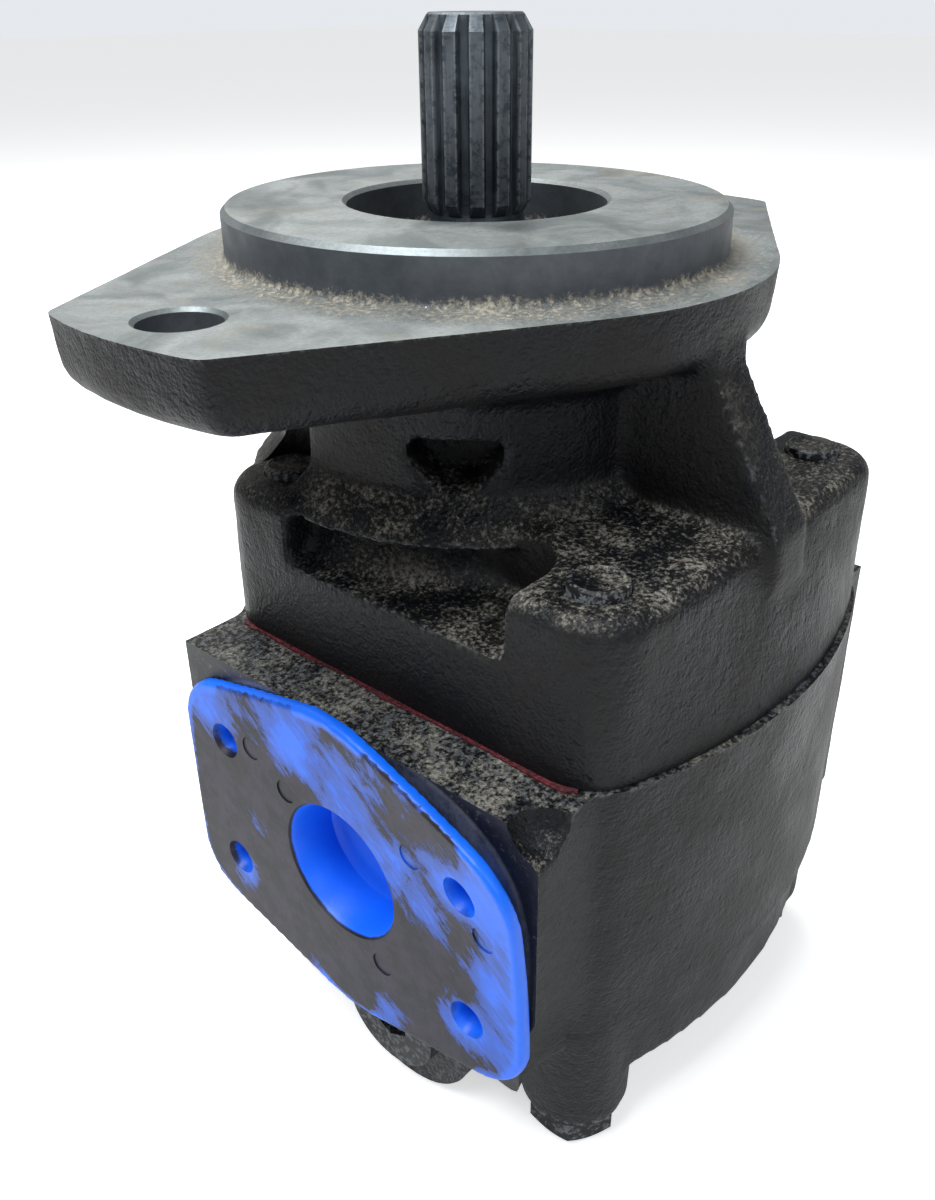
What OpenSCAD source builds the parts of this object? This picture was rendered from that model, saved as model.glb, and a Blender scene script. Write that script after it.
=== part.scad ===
// Three-piece cast-iron gear pump. Row frame: the origin is the centre of the mounting face,
// +Z runs out along the drive shaft, the ears lie along X and the driven gear is on the -Y side.

/* [Mounting flange] */
// Diameter of the pilot
pilot_d = 101.6; // [95:0.1:110]
// Height of the pilot above the mounting face
pilot_h = 9.65; // [6:0.05:12]
// Diameter of the recess inside the pilot
recess_d = 52.4; // [48:0.1:60]
// Thickness of the mounting flange
flange_t = 14; // [11:0.5:18]
// Diameter of the round middle of the flange
flange_d = 122; // [116:1:130]
// Length over both ears
ear_span = 175.2; // [170:0.2:182]
// Distance between the two flange holes
flange_hole_gap = 146.05; // [140:0.05:150]
// Diameter of each flange hole
flange_hole_d = 14.3; // [12:0.1:16]
// Diameter of the neck under the flange
neck_d = 84; // [76:1:92]

/* [Body] */
// Distance between the clamp screws across the body
screw_gap_x = 79; // [76:0.5:84]
// Distance between the clamp screws along the gear centre line
screw_gap_y = 77.7; // [76:0.1:82]
// Radius of each body corner, around its clamp screw
corner_r = 13.5; // [12:0.5:15]
// How far the curved ends of the body bulge past the corners
end_bulge = 8.4; // [4:0.2:9]
// Depth of the corner bosses below the mounting face
boss_level = 42; // [40:0.5:44]
// Depth of the front joint below the mounting face
front_joint = 74.5; // [74:0.5:80]
// Depth of the valley floors in the cover's sides
valley_level = 55; // [50:0.5:58]
// Thickness of the rear cover's plate
rear_plate = 19; // [17:0.5:22]
// Length of the rear cover's corner bosses below the rear joint
rear_boss = 30; // [28:0.5:32]

/* [Gears] */
// Distance between the two shafts
gear_centres = 43.5; // [43:0.1:44]
// Number of teeth on each gear
gear_teeth = 12; // [11:1:14]
// Pressure angle of the teeth
pressure_angle = 25; // [23:0.5:27]
// Width of the gears
gear_w = 50.8; // [45:0.1:56]
// Thickness of each wear plate
plate_t = 3.8; // [3:0.1:5]
// Tooth thinning that gives the backlash
backlash = 0.16; // [0.1:0.02:0.3]

/* [Drive shaft] */
// Number of spline teeth
spline_teeth = 13; // [11:1:15]
// Diameter over the spline teeth
spline_d = 21.8; // [21:0.1:23]
// How far the shaft stands out of the mounting face
shaft_out = 43; // [40:0.5:56]
// Diameter of the shaft under the oil seal
seal_shaft_d = 25.4; // [24:0.1:26]
// Diameter of the bearing journals
journal_d = 30; // [28:0.5:32]

/* [Ports] */
// Depth of the port centre below the mounting face
port_depth = 108; // [104:0.5:109]
// How far the outlet pad stands out from the centre line
pad_reach = 65.2; // [62:0.2:68]
// How far the inlet pad stands out from the centre line
inlet_reach = 58; // [57:0.2:62]
// How far both pads hang below the rear joint
pad_overhang = 6; // [2:0.5:6]
// Diameter of the outlet port
outlet_d = 31.75; // [28:0.25:34]
// Spacing of the outlet flange screws along the gear centre line
outlet_gap_y = 66.7; // [64:0.1:70]
// Spacing of the outlet flange screws along the shaft
outlet_gap_z = 31.8; // [30:0.1:36]
// Diameter of the inlet port
inlet_d = 38.1; // [34:0.1:39]
// Spacing of the inlet flange screws along the gear centre line
inlet_gap_y = 69.85; // [66:0.05:72]
// Spacing of the inlet flange screws along the shaft
inlet_gap_z = 35.7; // [34:0.1:38]

/* [Outlet cap] */
// Thickness of the cap's plate
cap_t = 2.7; // [2:0.1:4]
// Radius of the middle of the cap
cap_r = 36.5; // [34:0.5:38]
// Radius of the cap around each peg
cap_corner_r = 13.4; // [12:0.2:14]
// Depth of the cap's hollow plug
plug_depth = 13; // [10:0.5:16]

/* [Hidden] */
$fn = 96;
e = 0.01;

// Flange ears
ear_corner_r = 9;
ear_corner_y = 13.5;

// Ribs under the flange: reach from the shaft's axis at the top and at the foot
long_rib_top = 60.5;
long_rib_foot = 77;
short_rib_top = 54;
short_rib_foot = 36;

// Places along the shaft
side_gap = 0.05;
housing_t = gear_w + 2 * plate_t + 2 * side_gap;
z_front = -front_joint;
z_rear = z_front - housing_t;
z_boss = -boss_level;
z_valley = -valley_level;
z_plate = z_rear - rear_plate;
z_head = z_rear - rear_boss;
gear_top = z_front - plate_t - side_gap;
mid_y = -gear_centres / 2;
port_z = -port_depth;

// Body
half_x = screw_gap_x / 2;
half_y = screw_gap_y / 2;
end_y = half_y + corner_r + end_bulge;
cast_gap = 1.5;
cover_gap = 0.6;
screw_r = 5.55;
screw_hole_r = 6.2;
tapped_r = screw_r + 0.05;
dowel_r = 4;
dowel_x = 45;
dowel_deep = 5;

// Gears and shafts
module_mm = gear_centres / gear_teeth;
pitch_r = gear_centres / 2;
tip_r = pitch_r + module_mm;
root_r = pitch_r - 1.2 * module_mm;
chamber_r = tip_r + 0.12;
journal_r = journal_d / 2;
running = 0.04;
bearing_r = 20;
bearing_l = 26.5;
journal_l = bearing_l - 0.6;
neck_shaft_r = journal_r - 1.5;
seal_r = seal_shaft_d / 2;
spline_start = 8.5;
spline_root_r = spline_d / 2 - 1.6;

// Seal pocket inside the pilot
recess_floor = -3;
seal_pocket_r = 22;
seal_top = -5;
seal_w = 9.5;
ring_t = 1.5;
ring_groove_r = 23.2;
plate_seal_r = 22.6;
joint_seal_r = 29;
seal_w_thin = 1.8;

// Outlet cap
cap_gap = 0.1;
plug_r = outlet_d / 2 - 0.08;
plug_wall = 1.5;
peg_hole_r = 5.5;
peg_r = peg_hole_r - 0.08;
peg_l = 11;
peg_bore_r = 3.6;
inlet_tap_r = 5.5;
outlet_tap_depth = 14.5;
inlet_tap_depth = 10.5;
pad_y = 94.5;
port_floor_x = 30;
core_step = 3;

// Rear port boss
lobe_r = 20;
lobe_y = -26;
lobe_z = -152;
lobe_x = -57;
lobe_bore_r = 9;
o_ring_r = 10;
o_ring_t = 1;

// A disc of radius big_r and four small discs joined by their outer tangents
module link_plate(big_r, a, b, r, h) {
    slope = atan2(b, a) + acos((big_r - r) / norm([a, b]));
    lean = [cos(slope), sin(slope)];
    cylinder(r = big_r, h = h);
    translate([-a - r, -b, 0]) cube([2 * (a + r), 2 * b, h]);
    for (mx = [0, 1], my = [0, 1]) mirror([mx, 0, 0]) mirror([0, my, 0]) {
        translate([a, b, 0]) cylinder(r = r, h = h);
        linear_extrude(h) polygon([[0, 0], [a, 0], [a, b], [a, b] + r * lean, big_r * lean]);
    }
}

// The body's outline: straight sides, round corners and gently curved ends
module body_block(z0, z1, inset) {
    r = corner_r - inset;
    rise = end_y - inset - half_y;
    big = (half_x * half_x + rise * rise - r * r) / (2 * (rise - r));
    centre = rise - big;
    lean_x = half_x * big / (big - r);
    translate([0, mid_y, z0]) {
        translate([-half_x - r, -half_y, 0]) cube([2 * (half_x + r), screw_gap_y, z1 - z0]);
        for (sx = [-1, 1], sy = [-1, 1])
            translate([sx * half_x, sy * half_y, 0]) cylinder(r = r, h = z1 - z0);
        for (my = [0, 1]) mirror([0, my, 0]) intersection() {
            translate([0, half_y + centre, 0]) cylinder(r = big, h = z1 - z0, $fn = 240);
            translate([-lean_x, 0, 0]) cube([2 * lean_x, end_y + 1, z1 - z0]);
        }
    }
}

// Copies of a child at the four clamp screws
module at_screws() {
    for (sx = [-1, 1], sy = [-1, 1]) translate([sx * half_x, mid_y + sy * half_y, 0]) children();
}

// Copies of a child at both shaft centres
module at_shafts() {
    for (y = [0, -gear_centres]) translate([0, y, 0]) children();
}

// Copies of a child at both dowels
module at_dowels() {
    for (sx = [-1, 1]) translate([sx * dowel_x, mid_y, 0]) children();
}

// A plain tube standing on z0
module tube(outer, inner, z0, h) {
    difference() {
        translate([0, 0, z0]) cylinder(r = outer, h = h);
        translate([0, 0, z0 - 1]) cylinder(r = inner, h = h + 2);
    }
}

// A ring that follows both gear bores, r_mid on its centre line
module eight_ring(r_mid, w, z0, h) {
    difference() {
        at_shafts() translate([0, 0, z0]) cylinder(r = r_mid + w / 2, h = h);
        at_shafts() translate([0, 0, z0 - 1]) cylinder(r = r_mid - w / 2, h = h + 2);
    }
}

// A triangular rib in the YZ plane between the flange and the body, side = -1 or 1
module gusset(side, reach_top, reach_low) {
    w = 12;
    base = 20;
    mirror([0, side > 0 ? 0 : 1, 0]) translate([-w / 2, 0, 0]) rotate([90, 0, 90])
        linear_extrude(w) polygon([
            [base, -flange_t + 2], [reach_top, -flange_t + 2], [reach_top, -flange_t - 1],
            [reach_low, z_boss], [reach_low, z_boss - 2], [base, z_boss - 2]
        ]);
}

// Everything that is cut out of one side of the cover between two corner bosses
module side_valley() {
    end_r = 9;
    y_low = mid_y - half_y + 11;
    y_high = mid_y + half_y - 11;
    hull() for (y = [y_low + end_r, y_high - end_r], x = [-40, -80])
        translate([x, y, z_valley]) cylinder(r = end_r, h = 60, $fn = 32);
}

module shaft_end_cover() color([0.13, 0.13, 0.14]) difference() {
    union() {
        cylinder(r = pilot_d / 2 - 1, h = pilot_h);
        cylinder(r = pilot_d / 2, h = pilot_h - 1);
        translate([0, 0, -flange_t]) intersection() {
            link_plate(flange_d / 2, ear_span / 2 - ear_corner_r + 1, ear_corner_y, ear_corner_r, flange_t);
            cylinder(r = ear_span / 2, h = flange_t);
        }
        difference() {
            body_block(z_front, z_boss, cover_gap);
            for (mx = [0, 1]) mirror([mx, 0, 0]) side_valley();
        }
        translate([0, 0, z_front]) cylinder(r = neck_d / 2, h = -z_front - 1);
        gusset(-1, long_rib_top, long_rib_foot);
        gusset(1, short_rib_top, short_rib_foot);
    }
    translate([0, 0, recess_floor]) cylinder(r = recess_d / 2, h = 20);
    translate([0, 0, seal_top - seal_w]) cylinder(r = seal_pocket_r, h = 20);
    translate([0, 0, seal_top]) cylinder(r = ring_groove_r, h = ring_t);
    translate([0, 0, z_front]) cylinder(r = journal_r + 0.8, h = 70);
    at_shafts() translate([0, 0, z_front - 1]) cylinder(r = bearing_r, h = bearing_l + 1);
    for (sx = [-1, 1]) translate([sx * flange_hole_gap / 2, 0, -flange_t - 1])
        cylinder(r = flange_hole_d / 2, h = flange_t + 2);
    at_screws() translate([0, 0, z_front - 1]) cylinder(r = tapped_r, h = 60);
    at_dowels() translate([0, 0, z_front - 1]) cylinder(r = dowel_r, h = dowel_deep + 1);
    for (mx = [0, 1]) mirror([mx, 0, 0]) neck_pocket();
}

// The D-shaped cored pocket in the neck
module neck_pocket() {
    w = 18;
    h = 7;
    deep = 11;
    turn = -145;
    top = -27;
    rotate([0, 0, turn]) translate([neck_d / 2 - deep, 0, top]) rotate([0, 90, 0]) intersection() {
        cylinder(r = w / 2, h = 30);
        translate([0, -w / 2, 0]) cube([h, w, 30]);
    }
}

// A pad on the -X side of the housing that also hangs down beside the rear cover
module port_pad(reach) {
    root_x = half_x + 5;
    hang_x = half_x + corner_r - 0.5;
    translate([-reach, mid_y - pad_y / 2, z_rear]) cube([reach - root_x, pad_y, housing_t]);
    translate([-reach, mid_y - pad_y / 2, z_rear - pad_overhang])
        cube([reach - hang_x, pad_y, pad_overhang + 1]);
}

// The machined mouth of a port, its narrower cored throat and the four holes around it
module port_cuts(reach, d, gap_y, gap_z, tap_r, tap_depth) {
    throat_end_x = 8;
    translate([-reach - 1, mid_y, port_z]) rotate([0, 90, 0]) {
        cylinder(r = d / 2, h = reach + 1 - port_floor_x);
        cylinder(r = d / 2 - core_step, h = reach + 1 - throat_end_x);
    }
    for (sy = [-1, 1], sz = [-1, 1])
        translate([-reach - 1, mid_y + sy * gap_y / 2, port_z + sz * gap_z / 2])
            rotate([0, 90, 0]) cylinder(r = tap_r, h = tap_depth + 1);
}

module gear_housing() color([0.12, 0.12, 0.13]) difference() {
    union() {
        body_block(z_rear, z_front, 0);
        port_pad(pad_reach);
        mirror([1, 0, 0]) port_pad(inlet_reach);
    }
    at_shafts() translate([0, 0, z_rear - 1]) cylinder(r = chamber_r, h = housing_t + 2);
    at_screws() translate([0, 0, z_rear - 1]) cylinder(r = screw_hole_r, h = housing_t + 2);
    for (z = [z_rear - 1, z_front - dowel_deep])
        at_dowels() translate([0, 0, z]) cylinder(r = dowel_r, h = dowel_deep + 1);
    port_cuts(pad_reach, outlet_d, outlet_gap_y, outlet_gap_z, peg_hole_r, outlet_tap_depth);
    mirror([1, 0, 0]) port_cuts(inlet_reach, inlet_d, inlet_gap_y, inlet_gap_z, inlet_tap_r, inlet_tap_depth);
    intersection() {
        translate([lobe_x - 0.5, lobe_y, lobe_z]) rotate([0, 90, 0]) cylinder(r = lobe_r + 0.5, h = 20);
        translate([-80, mid_y - 80, z_rear - 60]) cube([160, 160, 60]);
    }
    for (z = [z_rear - 1, z_front - 2]) eight_ring(joint_seal_r, seal_w_thin, z, 3);
}

module port_end_cover() color([0.1, 0.1, 0.11]) difference() {
    dome_r = 27;
    union() {
        body_block(z_plate, z_rear, cast_gap);
        at_screws() translate([0, 0, z_head]) cylinder(r = corner_r - 2, h = rear_boss - 1);
        at_shafts() translate([0, 0, z_head - 3]) cylinder(r = dome_r, h = rear_boss);
        translate([-dome_r, -gear_centres, z_head - 3]) cube([2 * dome_r, gear_centres, rear_boss]);
        translate([lobe_x, lobe_y, lobe_z]) rotate([0, 90, 0]) cylinder(r = lobe_r, h = -lobe_x);
    }
    translate([-80, mid_y - 80, z_rear]) cube([160, 160, 60]);
    at_shafts() translate([0, 0, z_rear - bearing_l]) cylinder(r = bearing_r, h = bearing_l + 1);
    at_screws() translate([0, 0, z_head - 1]) cylinder(r = screw_hole_r, h = rear_boss + 2);
    at_dowels() translate([0, 0, z_rear - dowel_deep]) cylinder(r = dowel_r, h = dowel_deep + 1);
    translate([lobe_x - 1, lobe_y, lobe_z]) rotate([0, 90, 0]) {
        cylinder(r = lobe_bore_r, h = 19);
        cylinder(r = o_ring_r + 0.1, h = o_ring_t + 1.1);
    }
}

module clamp_screws() color([0.1, 0.1, 0.11]) {
    head_t = 7.5;
    washer_t = 2.2;
    z_seat = z_head - washer_t;
    at_screws() {
        translate([0, 0, z_seat]) cylinder(r = screw_r, h = z_boss + 2 - z_seat - 0.6);
        translate([0, 0, z_boss + 1.4]) cylinder(r1 = screw_r, r2 = screw_r - 0.6, h = 0.6);
        translate([0, 0, z_seat - head_t]) cylinder(r = 10.1, h = head_t, $fn = 6);
    }
}

module screw_washers() color([0.12, 0.12, 0.13])
    at_screws() tube(10.8, screw_r + 0.2, z_head - 2.2, 2.2);

module dowel_pair(z) {
    at_dowels() translate([0, 0, z - dowel_deep + 0.3]) cylinder(r = dowel_r, h = 2 * dowel_deep - 0.6);
}

module front_dowels() color([0.6, 0.6, 0.62]) dowel_pair(z_front);

module rear_dowels() color([0.6, 0.6, 0.62]) dowel_pair(z_rear);

// Involute helpers: polar angle of the involute at radius r, and one tooth flank
function inv(a) = tan(a) * 180 / PI - a;
function flank_angle(r, base_r) = r > base_r ? inv(acos(base_r / r)) : 0;
function tooth_half(r) = 90 / gear_teeth - (backlash / 2 / pitch_r) * 180 / PI
    + inv(pressure_angle) - flank_angle(r, pitch_r * cos(pressure_angle));
function polar(r, a) = [r * cos(a), r * sin(a)];
flank_steps = 7;
flank_r = [for (i = [0 : flank_steps]) root_r + 0.6 + (tip_r - root_r - 0.6) * i / flank_steps];

module gear_profile() {
    polygon([for (k = [0 : gear_teeth - 1]) let (c = 360 * k / gear_teeth) each concat(
        [polar(root_r, c - 180 / gear_teeth), polar(root_r, c - tooth_half(root_r) - 1)],
        [for (r = flank_r) polar(r, c - tooth_half(r))],
        [for (i = [flank_steps : -1 : 0]) polar(flank_r[i], c + tooth_half(flank_r[i]))],
        [polar(root_r, c + tooth_half(root_r) + 1)]
    )]);
}

// A gear with a bearing journal on each side, phase in degrees
module gear_and_journals(phase) {
    translate([0, 0, gear_top - gear_w]) rotate([0, 0, phase]) linear_extrude(gear_w) gear_profile();
    translate([0, 0, z_rear - journal_l]) cylinder(r = journal_r, h = housing_t + 2 * journal_l);
}

module spline() {
    pitch = 360 / spline_teeth;
    tip_half = 5.25;
    root_half = 9.4;
    linear_extrude(shaft_out - spline_start) polygon([for (k = [0 : spline_teeth - 1]) each [
        polar(spline_root_r, k * pitch - root_half), polar(spline_d / 2, k * pitch - tip_half),
        polar(spline_d / 2, k * pitch + tip_half), polar(spline_root_r, k * pitch + root_half)
    ]]);
}

module drive_gear_shaft() color([0.33, 0.36, 0.39]) {
    chamfer = 1.4;
    cone_h = 4;
    gear_and_journals(0);
    translate([0, 0, z_front + journal_l]) cylinder(r = neck_shaft_r, h = -z_front - journal_l - 15);
    translate([0, 0, -16]) cylinder(r = seal_r, h = 18);
    translate([0, 0, 2]) cylinder(r1 = seal_r, r2 = spline_root_r, h = 3);
    translate([0, 0, 4]) cylinder(r = spline_root_r, h = spline_start - 3.5);
    intersection() {
        translate([0, 0, spline_start]) spline();
        union() {
            cylinder(r = spline_d, h = shaft_out - cone_h);
            translate([0, 0, shaft_out - cone_h])
                cylinder(r1 = spline_d / 2 + cone_h - chamfer, r2 = spline_d / 2 - chamfer, h = cone_h);
        }
    }
}

module driven_gear_shaft() color([0.38, 0.4, 0.42])
    translate([0, -gear_centres, 0]) gear_and_journals(180 / gear_teeth);

module bearing_sleeve(y, z0) color([0.62, 0.5, 0.3])
    translate([0, y, 0]) tube(bearing_r, journal_r + running, z0, bearing_l - 0.2);

module front_drive_bearing() bearing_sleeve(0, z_front + 0.1);

module front_driven_bearing() bearing_sleeve(-gear_centres, z_front + 0.1);

module rear_drive_bearing() bearing_sleeve(0, z_rear - bearing_l + 0.1);

module rear_driven_bearing() bearing_sleeve(-gear_centres, z_rear - bearing_l + 0.1);

// A bronze plate across both gear bores, standing on z0, with its seal groove from groove_z up
module wear_plate(z0, groove_z) color([0.7, 0.52, 0.28]) difference() {
    at_shafts() translate([0, 0, z0]) cylinder(r = chamber_r - 0.06, h = plate_t);
    at_shafts() translate([0, 0, z0 - 1]) cylinder(r = journal_r + 0.4, h = plate_t + 2);
    eight_ring(plate_seal_r, seal_w_thin, groove_z, 2);
}

module front_wear_plate() wear_plate(z_front - plate_t, z_front - 1.5);

module rear_wear_plate() wear_plate(z_rear, z_rear - 0.5);

module front_plate_seal() color([0.08, 0.08, 0.08]) eight_ring(plate_seal_r, 1.6, z_front - 1.4, 1.35);

module rear_plate_seal() color([0.08, 0.08, 0.08]) eight_ring(plate_seal_r, 1.6, z_rear + 0.05, 1.35);

module front_joint_seal() color([0.08, 0.08, 0.08]) eight_ring(joint_seal_r, 1.6, z_front - 1.9, 1.85);

module rear_joint_seal() color([0.08, 0.08, 0.08]) eight_ring(joint_seal_r, 1.6, z_rear + 0.05, 1.85);

module shaft_seal_case() color([0.45, 0.46, 0.47]) {
    z_low = seal_top - seal_w;
    tube(seal_pocket_r, seal_pocket_r - 1.6, z_low, seal_w);
    tube(seal_pocket_r - 1, seal_r + 3, z_low, 1.2);
}

module shaft_seal_lip() color([0.12, 0.1, 0.1]) {
    z_low = seal_top - seal_w + 1.2;
    tube(seal_pocket_r - 1.65, seal_r + 3, z_low + 0.05, 2.4);
    tube(seal_r + 4.2, seal_r + running, z_low + 0.05, 5.5);
}

module seal_retaining_ring() color([0.3, 0.31, 0.33]) difference() {
    tube(ring_groove_r - 0.2, seal_pocket_r - 3, seal_top + 0.1, ring_t - 0.2);
    rotate([0, 0, 40]) translate([0, -3, seal_top - 1]) cube([40, 6, ring_t + 2]);
}

module outlet_cap() color([0.05, 0.3, 0.85]) {
    back = -pad_reach - cap_gap;
    face = back - cap_t;
    inner_r = plug_r - plug_wall;
    rotate_to_port(face) difference() {
        union() {
            link_plate(cap_r, outlet_gap_y / 2, outlet_gap_z / 2, cap_corner_r, cap_t);
            cylinder(r = plug_r, h = cap_t + plug_depth);
            peg_places() cylinder(r = peg_r, h = cap_t + peg_l);
        }
        translate([0, 0, -1]) cylinder(r = inner_r, h = cap_t + plug_depth - plug_wall + 1);
        translate([0, 0, -e]) cylinder(r1 = inner_r + 2, r2 = inner_r, h = 2);
        peg_places() translate([0, 0, -1]) cylinder(r = peg_bore_r, h = cap_t + peg_l - 1);
    }
}

// Stands a child that is drawn along +Z, with Y across, on the outlet axis at x = x0, pointing to +X
module rotate_to_port(x0) {
    translate([x0, mid_y, port_z]) rotate([90, 0, 90]) children();
}

module peg_places() {
    for (sy = [-1, 1], sz = [-1, 1]) translate([sy * outlet_gap_y / 2, sz * outlet_gap_z / 2, 0]) children();
}

module rear_port_plug() color([0.35, 0.36, 0.38])
    translate([lobe_x, lobe_y, lobe_z]) rotate([0, 90, 0]) difference() {
        union() {
            translate([0, 0, -4]) cylinder(r = 12.5, h = 4);
            cylinder(r = lobe_bore_r - 0.05, h = 14);
        }
        translate([0, 0, -5]) cylinder(r = 5.5, h = 9, $fn = 6);
    }

module plug_o_ring() color([0.08, 0.08, 0.08])
    translate([lobe_x, lobe_y, lobe_z]) rotate([0, 90, 0]) tube(o_ring_r, lobe_bore_r, 0, o_ring_t);

shaft_end_cover();
gear_housing();
port_end_cover();
clamp_screws();
screw_washers();
front_dowels();
rear_dowels();
drive_gear_shaft();
driven_gear_shaft();
front_drive_bearing();
front_driven_bearing();
rear_drive_bearing();
rear_driven_bearing();
front_wear_plate();
rear_wear_plate();
front_plate_seal();
rear_plate_seal();
front_joint_seal();
rear_joint_seal();
shaft_seal_case();
shaft_seal_lip();
seal_retaining_ring();
outlet_cap();
rear_port_plug();
plug_o_ring();
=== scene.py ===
"""Looks of a cast-iron gear pump: rough painted castings, machined faces, splined shaft and plastic port cap.

Lengths are in millimetres while a piece is being shaped. `Workshop.finish` turns them into metres.
"""

import logging
import math
from dataclasses import dataclass, field
from enum import Enum
from typing import Callable, Iterable, Optional, Sequence, Union

import bmesh
import bpy
from mathutils import Matrix, Vector, noise


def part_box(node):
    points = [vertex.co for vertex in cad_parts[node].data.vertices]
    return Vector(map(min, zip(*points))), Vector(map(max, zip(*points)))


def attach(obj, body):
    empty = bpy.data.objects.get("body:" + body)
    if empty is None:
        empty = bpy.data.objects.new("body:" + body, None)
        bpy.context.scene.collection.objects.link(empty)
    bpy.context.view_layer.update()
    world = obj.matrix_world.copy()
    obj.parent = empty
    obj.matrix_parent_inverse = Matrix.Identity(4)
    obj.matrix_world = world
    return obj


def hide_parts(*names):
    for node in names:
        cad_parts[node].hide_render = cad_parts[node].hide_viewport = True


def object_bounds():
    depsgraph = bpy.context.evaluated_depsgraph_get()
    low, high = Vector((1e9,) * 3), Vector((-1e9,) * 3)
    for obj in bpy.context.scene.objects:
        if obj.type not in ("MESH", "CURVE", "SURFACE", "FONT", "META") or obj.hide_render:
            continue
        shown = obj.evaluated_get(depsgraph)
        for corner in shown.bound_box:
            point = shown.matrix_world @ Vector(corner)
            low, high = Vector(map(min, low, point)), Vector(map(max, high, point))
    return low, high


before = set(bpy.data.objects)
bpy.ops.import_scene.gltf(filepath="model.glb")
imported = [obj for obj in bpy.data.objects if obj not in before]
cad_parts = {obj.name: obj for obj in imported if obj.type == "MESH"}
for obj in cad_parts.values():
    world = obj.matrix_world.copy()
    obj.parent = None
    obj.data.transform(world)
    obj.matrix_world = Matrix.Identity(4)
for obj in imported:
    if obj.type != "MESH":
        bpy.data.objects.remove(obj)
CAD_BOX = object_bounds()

logging.basicConfig(level=logging.INFO, format="%(message)s")
LOG = logging.getLogger("pump")

MM = 0.001
Point = tuple[float, float]
Colour = tuple[float, float, float]
Node = bpy.types.Node
Socket = bpy.types.NodeSocket
Mesh = bpy.types.Mesh
Object = bpy.types.Object
Material = bpy.types.Material
VECTOR = "NodeSocketVector"
FLOAT = "NodeSocketFloat"
Feed = Union[float, Colour, Socket]


class Body(Enum):
    """The moving bodies of the pump."""

    HOUSING = "housing"
    DRIVE = "drive"
    CAP = "cap"


class Axis(Enum):
    """A direction that a turned shape stands along."""

    X = "X"
    Z = "Z"

    def matrix(self) -> Matrix:
        """The turn that takes +Z to this axis."""
        return Matrix.Rotation(math.pi / 2, 4, "Y") if self is Axis.X else Matrix.Identity(4)


# ---------------------------------------------------------------------------------------------
# Shader graphs
# ---------------------------------------------------------------------------------------------


class Graph:
    """Adds nodes to one node tree and links them."""

    def __init__(self, tree: bpy.types.NodeTree) -> None:
        """Keeps the tree.

        Args:
            tree: the node tree of a material or of a node group.
        """
        self.tree = tree

    def add(
        self, kind: str, feeds: Optional[dict[Union[str, int], Feed]] = None, **settings: object
    ) -> Node:
        """Adds one node.

        Args:
            kind: Blender's name of the node type.
            feeds: values or sockets for the inputs.
            settings: the node's own properties.

        Returns:
            The new node.
        """
        node = self.tree.nodes.new(kind)
        for name, value in settings.items():
            setattr(node, name, value)
        for name, value in (feeds or {}).items():
            self.feed(node.inputs[name], value)
        return node

    def feed(self, socket: Socket, value: Feed) -> None:
        """Links a socket, or sets its own value.

        Args:
            socket: the input.
            value: a number, a colour or another node's output.
        """
        if isinstance(value, Socket):
            self.tree.links.new(value, socket)
        elif socket.type == "RGBA":
            socket.default_value = (*value, 1.0)
        else:
            socket.default_value = value

    def noise(
        self, place: Socket, scale: float, detail: float = 4.0, rough: float = 0.6, warp: float = 0.0
    ) -> Socket:
        """A noise value, scale in cycles per millimetre when place is in millimetres."""
        made = self.add(
            "ShaderNodeTexNoise",
            {"Vector": place, "Scale": scale, "Detail": detail, "Roughness": rough, "Distortion": warp},
        )
        return made.outputs["Fac"]

    def cells(self, place: Socket, scale: float) -> Socket:
        """The distance to the nearest of scattered points."""
        return self.add("ShaderNodeTexVoronoi", {"Vector": place, "Scale": scale}).outputs["Distance"]

    def math(self, operation: str, a: Feed, b: Feed = 0.0) -> Socket:
        """One sum on two values."""
        return self.add("ShaderNodeMath", {0: a, 1: b}, operation=operation).outputs[0]

    def plus(self, a: Feed, b: Feed) -> Socket:
        """Two values added."""
        return self.math("ADD", a, b)

    def times(self, a: Feed, b: Feed) -> Socket:
        """Two values multiplied."""
        return self.math("MULTIPLY", a, b)

    def radius(self, x: Socket, y: Socket) -> Socket:
        """The distance from the Z axis."""
        return self.math("SQRT", self.plus(self.times(x, x), self.times(y, y)))

    def span(self, value: Feed, low: float, high: float, to_low: float = 0.0, to_high: float = 1.0) -> Socket:
        """Smoothly maps low..high to to_low..to_high and holds the ends."""
        made = self.add(
            "ShaderNodeMapRange",
            {"Value": value, "From Min": low, "From Max": high, "To Min": to_low, "To Max": to_high},
            interpolation_type="SMOOTHSTEP",
        )
        return made.outputs["Result"]

    def mix(self, share: Feed, a: Feed, b: Feed) -> Socket:
        """A colour between a and b."""
        node = self.add("ShaderNodeMix", data_type="RGBA")
        self.feed(node.inputs[0], share)
        self.feed(node.inputs[6], a)
        self.feed(node.inputs[7], b)
        return node.outputs[2]

    def blend(self, share: Feed, a: Feed, b: Feed) -> Socket:
        """A value between a and b."""
        return self.add("ShaderNodeMix", {0: share, 2: a, 3: b}, data_type="FLOAT").outputs[0]

    def split(self, vector: Socket) -> tuple[Socket, Socket, Socket]:
        """The three parts of a vector."""
        made = self.add("ShaderNodeSeparateXYZ", {0: vector})
        return made.outputs[0], made.outputs[1], made.outputs[2]

    def bump(self, height: Socket, depth_mm: float) -> Socket:
        """A normal from a height of 0..1 that stands for depth_mm."""
        return self.add("ShaderNodeBump", {"Height": height, "Distance": depth_mm * MM}).outputs["Normal"]


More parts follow.
